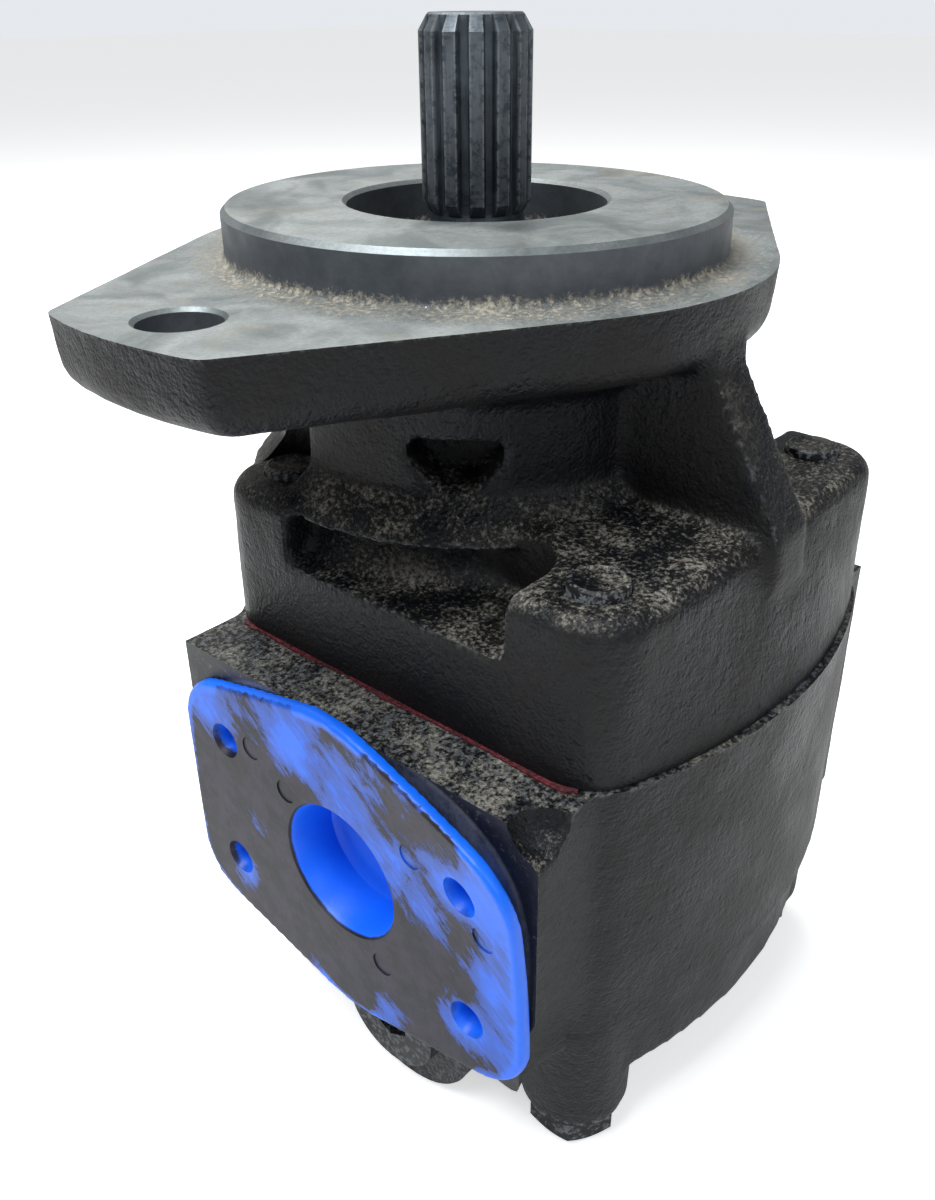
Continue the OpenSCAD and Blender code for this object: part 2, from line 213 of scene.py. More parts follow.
def new_group(
    name: str, inputs: dict[str, str], outputs: dict[str, str]
) -> tuple[Graph, Node, Node]:
    """Starts a shader node group.

    Args:
        name: the group's name.
        inputs: input names and socket types.
        outputs: output names and socket types.

    Returns:
        The group's graph, its input node and its output node.
    """
    tree = bpy.data.node_groups.new(name, "ShaderNodeTree")
    for side, sockets in (("INPUT", inputs), ("OUTPUT", outputs)):
        for label, kind in sockets.items():
            tree.interface.new_socket(name=label, in_out=side, socket_type=kind)
    graph = Graph(tree)
    return graph, graph.add("NodeGroupInput"), graph.add("NodeGroupOutput")


class Effects:
    """The node groups that several finishes share."""

    def __init__(self) -> None:
        """Builds every group once."""
        self.grain = self._sand_grain()
        self.dust = self._settled_dust()
        self.wear = self._edge_wear()
        self.lathe = self._lathe_marks()

    @staticmethod
    def _sand_grain() -> bpy.types.NodeTree:
        """Sand-cast skin: clumped grains over low lumps."""
        g, given, out = new_group(
            "sand_cast_grain",
            {"Place": VECTOR, "Size": FLOAT},
            {"Height": FLOAT, "Patches": FLOAT},
        )
        place, size = given.outputs["Place"], given.outputs["Size"]
        sizes = [(g.math("DIVIDE", share, size), detail) for share, detail in ((1.0, 3.0), (0.33, 2.0))]
        fine, clump = (
            g.add("ShaderNodeTexNoise", {"Vector": place, "Scale": scale, "Detail": detail})
            for scale, detail in sizes
        )
        pit = g.span(g.cells(place, 0.45), 0.0, 0.35)
        height = g.plus(g.times(fine.outputs[0], 0.6), g.times(clump.outputs[0], 0.7))
        g.feed(out.inputs["Height"], g.plus(height, g.times(pit, 0.25)))
        g.feed(out.inputs["Patches"], g.span(g.noise(place, 0.045, 4.0, 0.65), 0.35, 0.65))
        return g.tree

    @staticmethod
    def _settled_dust() -> bpy.types.NodeTree:
        """Speckled grit that lies on faces that look up."""
        g, given, out = new_group(
            "settled_dust",
            {
                "Place": VECTOR,
                "Normal": VECTOR,
                "Amount": FLOAT,
                "Speckle": FLOAT,
            },
            {"Mask": FLOAT},
        )
        place = given.outputs["Place"]
        upward = g.span(g.split(given.outputs["Normal"])[2], 0.35, 0.85)
        speck = g.add(
            "ShaderNodeTexNoise",
            {"Vector": place, "Scale": given.outputs["Speckle"], "Detail": 5.0, "Roughness": 0.75},
        )
        drift = g.noise(place, 0.09, 3.0)
        level = g.plus(g.times(speck.outputs[0], 1.5), g.times(drift, 0.7))
        level = g.plus(level, given.outputs["Amount"])
        g.feed(out.inputs["Mask"], g.times(g.span(level, 1.35, 1.75), upward))
        return g.tree

    @staticmethod
    def _edge_wear() -> bpy.types.NodeTree:
        """Rubbed convex edges, broken up by noise."""
        g, given, out = new_group(
            "edge_wear",
            {"Place": VECTOR, "Sharpness": FLOAT, "Amount": FLOAT},
            {"Mask": FLOAT},
        )
        broken = g.noise(given.outputs["Place"], 0.7, 5.0, 0.7)
        edge = g.span(given.outputs["Sharpness"], 0.515, 0.57)
        chips = g.span(g.plus(broken, given.outputs["Amount"]), 0.5, 0.62)
        g.feed(out.inputs["Mask"], g.times(edge, chips))
        return g.tree

    @staticmethod
    def _lathe_marks() -> bpy.types.NodeTree:
        """Fine rings left by a cutter that turned round the Z axis, and faint smudges."""
        g, given, out = new_group(
            "lathe_marks",
            {"Place": VECTOR, "Pitch": FLOAT},
            {"Height": FLOAT, "Smudge": FLOAT},
        )
        place = given.outputs["Place"]
        x, y, z = g.split(place)
        radius = g.radius(x, y)
        turns = g.math("DIVIDE", radius, given.outputs["Pitch"])
        ring = g.add("ShaderNodeCombineXYZ", {0: turns, 1: z, 2: 0.0})
        g.feed(out.inputs["Height"], g.noise(ring.outputs[0], 1.0, 2.0))
        g.feed(out.inputs["Smudge"], g.span(g.noise(place, 0.06, 5.0, 0.62, 0.8), 0.3, 0.72))
        return g.tree


@dataclass(frozen=True)
class Finish:
    """One finish, and the material that it makes."""

    name: str

    def make(self, effects: Effects) -> Material:
        """Makes the material.

        Args:
            effects: the shared node groups.

        Returns:
            The new material.
        """
        material = bpy.data.materials.new(self.name)
        material.use_nodes = True
        graph = Graph(material.node_tree)
        shader = material.node_tree.nodes["Principled BSDF"]
        place = graph.add("ShaderNodeTexCoord").outputs["Object"]
        scaled = graph.add("ShaderNodeMapping", {"Vector": place, "Scale": (1 / MM, 1 / MM, 1 / MM)})
        self.paint(graph, shader, scaled.outputs[0], effects)
        return material

    def paint(self, g: Graph, shader: Node, place: Socket, effects: Effects) -> None:
        """Feeds the shader. Each finish has its own."""
        raise NotImplementedError

    @staticmethod
    def group(g: Graph, tree: bpy.types.NodeTree, feeds: dict[str, Feed]) -> Node:
        """Places a shared group with its own values."""
        node = g.add("ShaderNodeGroup", node_tree=tree)
        for name, value in feeds.items():
            g.feed(node.inputs[name], value)
        return node

    def worn(self, g: Graph, effects: Effects, place: Socket, about: Node, amount: float) -> Socket:
        """Where the edges are rubbed bare."""
        feeds = {"Place": place, "Sharpness": about.outputs["Pointiness"], "Amount": amount}
        return self.group(g, effects.wear, feeds).outputs[0]


@dataclass(frozen=True)
class CastPaint(Finish):
    """Black semi-gloss paint over rough sand-cast iron, dusty where it looks up."""

    dust: float = 0.3
    grain_mm: float = 0.62
    depth_mm: float = 0.5
    wear: float = 0.5
    flecks: float = 0.3

    def paint(self, g: Graph, shader: Node, place: Socket, effects: Effects) -> None:
        """Feeds the shader with grainy black paint, bluish and brownish patches, worn edges and dust."""
        about = g.add("ShaderNodeNewGeometry")
        grain = self.group(g, effects.grain, {"Place": place, "Size": self.grain_mm})
        patches = grain.outputs["Patches"]
        tint = g.mix(patches, (0.0028, 0.0034, 0.0052), (0.0058, 0.0052, 0.005))
        fleck = g.span(g.noise(place, 1.4, 4.0, 0.8), 0.62, 0.74)
        tint = g.mix(g.times(fleck, self.flecks), tint, (0.07, 0.068, 0.064))
        wear = self.worn(g, effects, place, about, 0.02)
        tint = g.mix(g.times(wear, self.wear), tint, (0.15, 0.16, 0.17))
        feeds = {"Place": place, "Normal": about.outputs["Normal"], "Amount": self.dust, "Speckle": 1.15}
        dust = self.group(g, effects.dust, feeds).outputs["Mask"]
        shade = g.mix(g.noise(place, 0.9, 4.0, 0.8), (0.12, 0.112, 0.1), (0.36, 0.335, 0.28))
        g.feed(shader.inputs["Base Color"], g.mix(dust, tint, shade))
        shader.inputs["Specular IOR Level"].default_value = 0.24
        smooth = g.blend(patches, 0.38, 0.52)
        g.feed(shader.inputs["Roughness"], g.blend(dust, smooth, 0.93))
        g.feed(shader.inputs["Normal"], g.bump(grain.outputs["Height"], self.depth_mm))


@dataclass(frozen=True)
class MachinedIron(Finish):
    """Bare machined iron with rings from the tool, stains, and cream dust round the pilot's foot."""

    pilot_r: float = 50.8

    def paint(self, g: Graph, shader: Node, place: Socket, effects: Effects) -> None:
        """Feeds the shader with turned metal, brown stains, walls painted dark as shade, and settled dust."""
        about = g.add("ShaderNodeNewGeometry")
        x, y, z = g.split(place)
        flat = g.span(g.split(about.outputs["Normal"])[2], 0.3, 0.9)
        marks = self.group(g, effects.lathe, {"Place": place, "Pitch": 0.45})
        metal = g.mix(marks.outputs["Smudge"], (0.19, 0.215, 0.215), (0.29, 0.315, 0.31))
        fine = g.span(g.noise(place, 1.1, 5.0, 0.85), 0.4, 0.62)
        metal = g.mix(g.times(fine, 0.4), metal, (0.1, 0.115, 0.12))
        stain = g.span(g.noise(place, 0.035, 6.0, 0.6, 1.2), 0.56, 0.7)
        metal = g.mix(g.times(stain, 0.3), metal, (0.3, 0.24, 0.15))
        rust = g.span(g.noise(place, 0.022, 5.0, 0.65, 0.6), 0.66, 0.78)
        metal = g.mix(g.times(rust, 0.8), metal, (0.07, 0.04, 0.035))
        # Faces that don't look up (the pilot's side, the recess and the bore walls) get a dark grey: painted
        # shade on the same metal as the lit top.
        wall = g.mix(g.noise(place, 0.25, 5.0, 0.7), (0.03, 0.036, 0.045), (0.12, 0.13, 0.14))
        tone = g.mix(flat, wall, metal)
        near = g.span(g.radius(x, y), self.pilot_r + 18.0, self.pilot_r + 1.0)
        low = g.span(z, 4.5, 0.5)
        scatter = g.times(g.plus(g.times(near, 0.33), 0.1), low)
        speck = g.plus(g.noise(place, 0.8, 5.0, 0.8), g.times(g.noise(place, 0.07, 3.0), 0.35))
        dust = g.span(g.plus(speck, scatter), 0.98, 1.2)
        tone = g.mix(dust, tone, g.mix(g.noise(place, 0.9, 3.0), (0.2, 0.185, 0.15), (0.5, 0.46, 0.38)))
        grit = g.span(g.noise(place, 2.2, 3.0, 0.8), 0.68, 0.78)
        tone = g.mix(g.times(grit, 0.5), tone, (0.05, 0.05, 0.05))
        g.feed(shader.inputs["Base Color"], tone)
        bare = g.times(g.math("SUBTRACT", 1.0, dust), g.blend(flat, 0.35, 0.8))
        g.feed(shader.inputs["Metallic"], bare)
        g.feed(shader.inputs["Roughness"], g.blend(dust, g.blend(marks.outputs["Smudge"], 0.36, 0.52), 0.95))
        height = g.plus(g.times(marks.outputs["Height"], 0.12), g.times(dust, 0.8))
        g.feed(shader.inputs["Normal"], g.bump(height, 0.25))


@dataclass(frozen=True)
class Steel(Finish):
    """Plain or blackened steel with tool marks, oil and small nicks."""

    dark: Colour = (0.05, 0.06, 0.07)
    light: Colour = (0.2, 0.22, 0.24)
    metallic: float = 0.9
    rough: float = 0.35
    pitch_mm: float = 0.3
    edge: Colour = (0.55, 0.57, 0.6)
    edge_share: float = 0.25

    def paint(self, g: Graph, shader: Node, place: Socket, effects: Effects) -> None:
        """Feeds the shader with stained, turned steel whose edges are bright."""
        about = g.add("ShaderNodeNewGeometry")
        marks = self.group(g, effects.lathe, {"Place": place, "Pitch": self.pitch_mm})
        tone = g.mix(marks.outputs["Smudge"], self.dark, self.light)
        streak = g.add("ShaderNodeMapping", {"Vector": place, "Scale": (1.2, 1.2, 0.07)}).outputs[0]
        tone = g.mix(g.span(g.noise(streak, 0.9, 4.0, 0.7), 0.45, 0.75), tone, self.dark)
        wear = self.worn(g, effects, place, about, 0.1)
        tone = g.mix(g.times(wear, self.edge_share), tone, self.edge)
        nick = g.span(g.noise(place, 1.6, 3.0, 0.8), 0.68, 0.78)
        tone = g.mix(g.times(nick, 0.5), tone, (0.3, 0.28, 0.25))
        g.feed(shader.inputs["Base Color"], tone)
        shader.inputs["Metallic"].default_value = self.metallic
        g.feed(shader.inputs["Roughness"], g.blend(marks.outputs["Smudge"], self.rough, self.rough + 0.18))
        height = g.plus(marks.outputs["Height"], g.times(g.noise(place, 1.1, 4.0), 0.8))
        g.feed(shader.inputs["Normal"], g.bump(height, 0.06))


@dataclass(frozen=True)
class PadSteel(Steel):
    """A machined port pad that is painted black outside the outline of its cap."""

    centre: Point = (-21.75, -108.0)
    reach: Point = (45.5, 34.5)

    def paint(self, g: Graph, shader: Node, place: Socket, effects: Effects) -> None:
        """Feeds the shader with bare metal, and with black paint past the cap."""
        super().paint(g, shader, place, effects)
        x, y, z = g.split(place)
        shares = []
        for value, middle, reach in ((y, self.centre[0], self.reach[0]), (z, self.centre[1], self.reach[1])):
            away = g.math("ABSOLUTE", g.math("SUBTRACT", value, middle))
            shares.append(g.math("POWER", g.math("DIVIDE", away, reach), 3.0))
        past = g.span(g.plus(shares[0], shares[1]), 0.92, 1.06)
        painted = g.times(past, g.span(x, 0.0, -10.0))
        scuffs = g.span(g.noise(place, 0.9, 5.0, 0.8), 0.56, 0.7)
        coat = g.mix(scuffs, (0.004, 0.0045, 0.007), (0.1, 0.1, 0.1))
        bare = shader.inputs["Base Color"].links[0].from_socket
        g.feed(shader.inputs["Base Color"], g.mix(painted, bare, coat))
        g.feed(shader.inputs["Metallic"], g.blend(painted, self.metallic, 0.0))


@dataclass(frozen=True)
class Bronze(Steel):
    """Satin bearing bronze."""

    dark: Colour = (0.28, 0.18, 0.08)
    light: Colour = (0.62, 0.44, 0.22)
    edge: Colour = (0.8, 0.62, 0.36)


@dataclass(frozen=True)
class Rubber(Finish):
    """Matt black rubber with a fine moulded grain."""

    def paint(self, g: Graph, shader: Node, place: Socket, effects: Effects) -> None:
        """Feeds the shader with dull black and a soft bloom."""
        bloom = g.span(g.noise(place, 0.3, 4.0, 0.6), 0.45, 0.75)
        g.feed(shader.inputs["Base Color"], g.mix(bloom, (0.012, 0.012, 0.013), (0.035, 0.034, 0.033)))
        g.feed(shader.inputs["Roughness"], g.blend(bloom, 0.62, 0.8))
        g.feed(shader.inputs["Normal"], g.bump(g.noise(place, 3.0, 3.0), 0.05))


@dataclass(frozen=True)
class Sealant(Finish):
    """Red sealant squeezed from a joint, under paint and dust."""

    def paint(self, g: Graph, shader: Node, place: Socket, effects: Effects) -> None:
        """Feeds the shader with crumbly dark red and pale grit."""
        crumb = g.noise(place, 1.1, 4.0, 0.75)
        red = g.mix(g.span(crumb, 0.4, 0.65), (0.035, 0.004, 0.006), (0.17, 0.016, 0.026))
        grit = g.span(g.noise(place, 1.7, 4.0, 0.8), 0.62, 0.72)
        g.feed(shader.inputs["Base Color"], g.mix(g.times(grit, 0.8), red, (0.4, 0.34, 0.3)))
        g.feed(shader.inputs["Roughness"], g.blend(grit, 0.4, 0.85))
        g.feed(shader.inputs["Normal"], g.bump(crumb, 0.5))


@dataclass(frozen=True)
class OversprayedPlastic(Finish):
    """Blue plastic with patchy black overspray that is scuffed through."""

    attribute: str = "overspray"

    def paint(self, g: Graph, shader: Node, place: Socket, effects: Effects) -> None:
        """Feeds the shader with blue plastic and scuffed dark paint."""
        cover = g.add("ShaderNodeAttribute", attribute_name=self.attribute).outputs["Fac"]
        slant = (math.radians(-38), 0.0, 0.0)
        turned = g.add("ShaderNodeMapping", {"Vector": place, "Rotation": slant}).outputs[0]
        scuff_place = g.add("ShaderNodeMapping", {"Vector": turned, "Scale": (1.0, 0.28, 1.3)}).outputs[0]
        scuff = g.noise(scuff_place, 0.36, 6.0, 0.72, 0.4)
        patch = g.noise(place, 0.085, 5.0, 0.68, 0.5)
        worn = g.plus(g.times(scuff, 0.9), g.times(patch, 0.9))
        level = g.plus(worn, g.times(cover, 1.25))
        paint = g.span(level, 1.36, 1.54)
        film = g.span(level, 1.0, 1.4)
        blue = g.mix(g.noise(place, 0.12, 3.0), (0.003, 0.11, 0.72), (0.006, 0.15, 0.86))
        hazed = g.mix(g.times(film, 0.75), blue, (0.014, 0.045, 0.23))
        shade = g.span(g.noise(place, 0.16, 5.0, 0.7), 0.38, 0.66)
        dark = g.mix(shade, (0.004, 0.004, 0.008), (0.02, 0.015, 0.03))
        dirt = g.span(g.noise(place, 1.3, 4.0, 0.8), 0.7, 0.78)
        tone = g.mix(paint, hazed, dark)
        g.feed(shader.inputs["Base Color"], g.mix(g.times(dirt, 0.4), tone, (0.16, 0.17, 0.2)))
        shader.inputs["Specular IOR Level"].default_value = 0.35
        g.feed(shader.inputs["Roughness"], g.blend(paint, 0.4, 0.5))
        relief = g.plus(g.times(paint, 0.35), g.times(g.noise(place, 0.5, 4.0), 0.5))
        g.feed(shader.inputs["Normal"], g.bump(relief, 0.16))


@dataclass(frozen=True)
class Backdrop(Finish):
    """The pale floor."""

    def paint(self, g: Graph, shader: Node, place: Socket, effects: Effects) -> None:
        """Feeds the shader with a plain pale grey."""
        shader.inputs["Base Color"].default_value = (0.86, 0.86, 0.85, 1.0)
        shader.inputs["Roughness"].default_value = 0.9
        shader.inputs["Emission Color"].default_value = (1.0, 1.0, 1.0, 1.0)
        seen = g.add("ShaderNodeLightPath").outputs["Is Camera Ray"]
        g.feed(shader.inputs["Emission Strength"], g.blend(seen, 0.16, 0.55))


class Finishes:
    """Every finish of the pump, made once."""

    def __init__(self) -> None:
        """Builds the shared effects and the materials."""
        effects = Effects()
        choices = (
            CastPaint("cast_paint"),
            MachinedIron("machined_iron"),
            CastPaint("screw_paint", dust=0.3, grain_mm=1.6, depth_mm=0.12, wear=0.8, flecks=0.08),
            CastPaint("plug_paint", dust=-0.2, grain_mm=1.8, depth_mm=0.1),
            Steel("shaft_steel", (0.035, 0.045, 0.055), (0.12, 0.14, 0.155), 0.85, 0.42),
            Steel("ground_steel", (0.3, 0.3, 0.31), (0.55, 0.55, 0.57), 1.0, 0.25),
            Steel("seal_steel", (0.08, 0.085, 0.095), (0.24, 0.25, 0.27), 0.9, 0.4),
            PadSteel("pad_steel", (0.16, 0.165, 0.17), (0.3, 0.31, 0.32), 0.9, 0.42),
            Bronze("bearing_bronze"),
            Bronze("wear_bronze", pitch_mm=0.5),
            Rubber("seal_rubber"),
            Sealant("red_sealant"),
            OversprayedPlastic("blue_plastic"),
            Backdrop("floor"),
        )
        self.made = {choice.name: choice.make(effects) for choice in choices}

    def __getitem__(self, name: str) -> Material:
        """The material with this name."""
        return self.made[name]


# ---------------------------------------------------------------------------------------------
# Shaping
# ---------------------------------------------------------------------------------------------


def arc(centre: Point, radius: float, start: float, end: float, steps: int) -> list[Point]:
    """Points on an arc.

    Args:
        centre: the centre.
        radius: the radius.
        start: the first angle in degrees.
        end: the last angle in degrees.
        steps: how many stretches it has.

    Returns:
        steps + 1 points.
    """
    angles = [math.radians(start + (end - start) * i / steps) for i in range(steps + 1)]
    return [(centre[0] + radius * math.cos(a), centre[1] + radius * math.sin(a)) for a in angles]


def corners(a: float, b: float) -> list[Point]:
    """The four corners of a rectangle that reaches a and b from the origin."""
    return [(sa * a, sb * b) for sa in (-1, 1) for sb in (-1, 1)]


def placed(name: str, data: bpy.types.ID) -> Object:
    """A new object in the scene."""
    made = bpy.data.objects.new(name, data)
    bpy.context.scene.collection.objects.link(made)
    return made


class Workshop:
    """Solid shapes added to one bmesh, in millimetres."""

    def __init__(self) -> None:
        """Starts with an empty bmesh."""
        self.bm = bmesh.new()

    def cylinder(
        self, x: float, y: float, z0: float, z1: float, r0: float, r1: Optional[float] = None, sides: int = 64
    ) -> None:
        """Adds a cylinder or cone from z0 up to z1, with radius r0 below and r1 above."""
        place = Matrix.Translation((x, y, (z0 + z1) / 2))
        top = r0 if r1 is None else r1
        bmesh.ops.create_cone(
            self.bm, cap_ends=True, segments=sides, radius1=r0, radius2=top, depth=z1 - z0, matrix=place
        )

    def block(self, low: Sequence[float], high: Sequence[float], round_mm: float = 0.0) -> None:
        """Adds a box, with rounded upright edges if round_mm is given."""
        size = Vector(high) - Vector(low)
        place = Matrix.Translation((Vector(low) + Vector(high)) / 2) @ Matrix.Diagonal((*size, 1.0))
        made = bmesh.ops.create_cube(self.bm, size=1.0, matrix=place)["verts"]
        if round_mm:
            edges = {edge for vert in made for edge in vert.link_edges}
            upright = [e for e in edges if abs(e.verts[0].co.z - e.verts[1].co.z) > 0.01]
            bmesh.ops.bevel(
                self.bm,
                geom=upright,
                offset=round_mm,
                offset_type="OFFSET",
                affect="EDGES",
                segments=5,
                profile=0.5,
                material=-1,
                clamp_overlap=True,
            )

    def thicken(self, faces: Iterable[bmesh.types.BMFace], by: Sequence[float]) -> None:
        """Makes a closed solid from faces by moving a copy of them."""
        raised = bmesh.ops.extrude_face_region(self.bm, geom=list(faces), use_keep_orig=True)["geom"]
        moved = [item for item in raised if isinstance(item, bmesh.types.BMVert)]
        bmesh.ops.translate(self.bm, vec=by, verts=moved)

    def loft(self, *levels: tuple[Sequence[Point], float]) -> None:
        """Adds a closed solid through outlines that have the same number of points.

        Args:
            levels: each outline with its height, from the lowest to the highest.
        """
        outline, z = levels[0]
        face = self.bm.faces.new([self.bm.verts.new((x, y, z)) for x, y in outline])
        verts = list(face.verts)
        for step, (outline, z) in enumerate(levels[1:]):
            places = {(round(v.co.x, 4), round(v.co.y, 4)): i for i, v in enumerate(verts)}
            raised = bmesh.ops.extrude_face_region(self.bm, geom=[face], use_keep_orig=not step)["geom"]
            verts: list[bmesh.types.BMVert] = [None] * len(outline)
            for vert in (item for item in raised if isinstance(item, bmesh.types.BMVert)):
                index = places[(round(vert.co.x, 4), round(vert.co.y, 4))]
                vert.co = (*outline[index], z)
                verts[index] = vert
            face = next(item for item in raised if isinstance(item, bmesh.types.BMFace))

    def turned(
        self,
        profile: Sequence[Point],
        axis: Axis = Axis.Z,
        centre: Sequence[float] = (0, 0, 0),
        sides: int = 96,
    ) -> None:
        """Adds a solid of revolution.

        Args:
            profile: radius and height pairs; it starts and ends on the axis.
            axis: the direction that the heights run along.
            centre: where the axis starts.
            sides: how many steps a full turn has.
        """
        verts = [self.bm.verts.new((r, 0, h)) for r, h in profile]
        edges = [self.bm.edges.new(pair) for pair in zip(verts, verts[1:])]
        before = set(self.bm.verts) - set(verts)
        bmesh.ops.spin(
            self.bm,
            geom=[*verts, *edges],
            cent=(0, 0, 0),
            axis=(0, 0, 1),
            angle=math.tau,
            steps=sides,
            use_merge=True,
        )
        made = [v for v in self.bm.verts if v not in before]
        bmesh.ops.remove_doubles(self.bm, verts=made, dist=0.0005)
        made = [v for v in self.bm.verts if v not in before]
        bmesh.ops.recalc_face_normals(self.bm, faces=list({f for v in made for f in v.link_faces}))
        bmesh.ops.transform(self.bm, matrix=Matrix.Translation(centre) @ axis.matrix(), verts=made)

    def ball(self, centre: Sequence[float], radii: Sequence[float]) -> None:
        """Adds an ellipsoid."""
        place = Matrix.Translation(centre) @ Matrix.Diagonal((*radii, 1.0))
        bmesh.ops.create_uvsphere(self.bm, u_segments=32, v_segments=16, radius=1.0, matrix=place)

    def mesh(self, name: str) -> Mesh:
        """Turns the bmesh into a mesh and empties it."""
        bmesh.ops.recalc_face_normals(self.bm, faces=self.bm.faces)
        mesh = bpy.data.meshes.new(name)
        self.bm.to_mesh(mesh)
        self.bm.free()
        self.bm = bmesh.new()
        return mesh

    def take(self, mesh: Mesh) -> None:
        """Adds a mesh to the bmesh."""
        self.bm.from_mesh(mesh)

    @staticmethod
    def evaluated(mesh: Mesh, add: Callable[[Object], None]) -> Mesh:
        """The mesh after the modifiers that `add` puts on it.

        Args:
            mesh: the mesh to change.
            add: puts modifiers on a passing object.

        Returns:
            A new mesh.
        """
        passing = placed("passing", mesh)
        add(passing)
        graph = bpy.context.evaluated_depsgraph_get()
        result = bpy.data.meshes.new_from_object(passing.evaluated_get(graph), depsgraph=graph)
        bpy.data.objects.remove(passing)
        return result

    @staticmethod
    def cut(mesh: Mesh, tool: Mesh, operation: str = "DIFFERENCE") -> Mesh:
        """Takes a closed tool mesh away from a closed mesh, or does another boolean with it."""
        cutter = placed("cutter", tool)

        def add(target: Object) -> None:
            """Puts the boolean on the passing object."""
            step = target.modifiers.new("cut", "BOOLEAN")
            step.operation, step.solver, step.object = operation, "EXACT", cutter

        result = Workshop.evaluated(mesh, add)
        bpy.data.objects.remove(cutter)
        return result

    @staticmethod
    def cast(mesh: Mesh, voxel: float, rounds: int, lump: float = 0.14) -> Mesh:
        """Fuses overlapping solids into one casting with soft fillets and a slightly lumpy skin.

        Args:
            mesh: overlapping closed solids.
            voxel: the grid in millimetres.
            rounds: how often the skin is smoothed.
            lump: the height of the lumps in millimetres.

        Returns:
            The fused mesh.
        """

        def add(target: Object) -> None:
            """Puts the remesh and the smoothing on the passing object."""
            fuse = target.modifiers.new("fuse", "REMESH")
            fuse.mode, fuse.voxel_size = "VOXEL", voxel
            soften = target.modifiers.new("soften", "SMOOTH")
            soften.factor, soften.iterations = 0.5, rounds

        fused = Workshop.evaluated(mesh, add)
        bm = bmesh.new()
        bm.from_mesh(fused)
        bm.normal_update()
        for vert in bm.verts:
            low = noise.noise(vert.co * 0.07)
            high = noise.noise(vert.co * 0.31)
            vert.co += vert.normal * lump * (low + 0.55 * high)
        bm.to_mesh(fused)
        bm.free()
        return fused

    def face_off(self, point: Sequence[float], normal: Sequence[float]) -> None:
        """Machines the bmesh flat: takes away what lies beyond a plane and closes the face."""
        made = bmesh.ops.bisect_plane(
            self.bm,
            geom=[*self.bm.verts, *self.bm.edges, *self.bm.faces],
            dist=0.0001,
            plane_co=point,
            plane_no=normal,
            clear_outer=True,
        )["geom_cut"]
        rim = [item for item in made if isinstance(item, bmesh.types.BMEdge) and item.is_boundary]
        bmesh.ops.holes_fill(self.bm, edges=rim, sides=0)

    def finish(
        self,
        name: str,
        body: Body,
        materials: Sequence[Material],
        choose: Optional[Callable[[Vector, Vector], int]] = None,
        sharp_deg: float = 32.0,
    ) -> Object:
        """Makes the finished piece from the bmesh.

        Args:
            name: the piece's name.
            body: the body that it rides on.
            materials: its material slots.
            choose: gives the slot for a face from its centre and normal, in millimetres.
            sharp_deg: edges sharper than this stay crisp.

        Returns:
            The piece's object.
        """
        self.bm.normal_update()
        for face in self.bm.faces:
            face.smooth = True
            if choose:
                face.material_index = choose(face.calc_center_median(), face.normal)
        bmesh.ops.scale(self.bm, vec=(MM, MM, MM), verts=self.bm.verts)
        mesh = bpy.data.meshes.new(name)
        self.bm.to_mesh(mesh)
        self.bm.free()
        mesh.set_sharp_from_angle(angle=math.radians(sharp_deg))
        for material in materials:
            mesh.materials.append(material)
        piece = placed(name, mesh)
        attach(piece, body.value)
        LOG.info("%s: %d faces on %s", name, len(mesh.polygons), body.value)
        return piece


# ---------------------------------------------------------------------------------------------
# The pump
# ---------------------------------------------------------------------------------------------


def low_mm(node: str) -> Vector:
    """The lowest corner of a CAD node, in millimetres."""
    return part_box(node)[0] / MM


def high_mm(node: str) -> Vector:
    """The highest corner of a CAD node, in millimetres."""
    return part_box(node)[1] / MM


def middle_mm(node: str) -> Vector:
    """The middle of a CAD node's box, in millimetres."""
    return (low_mm(node) + high_mm(node)) / 2


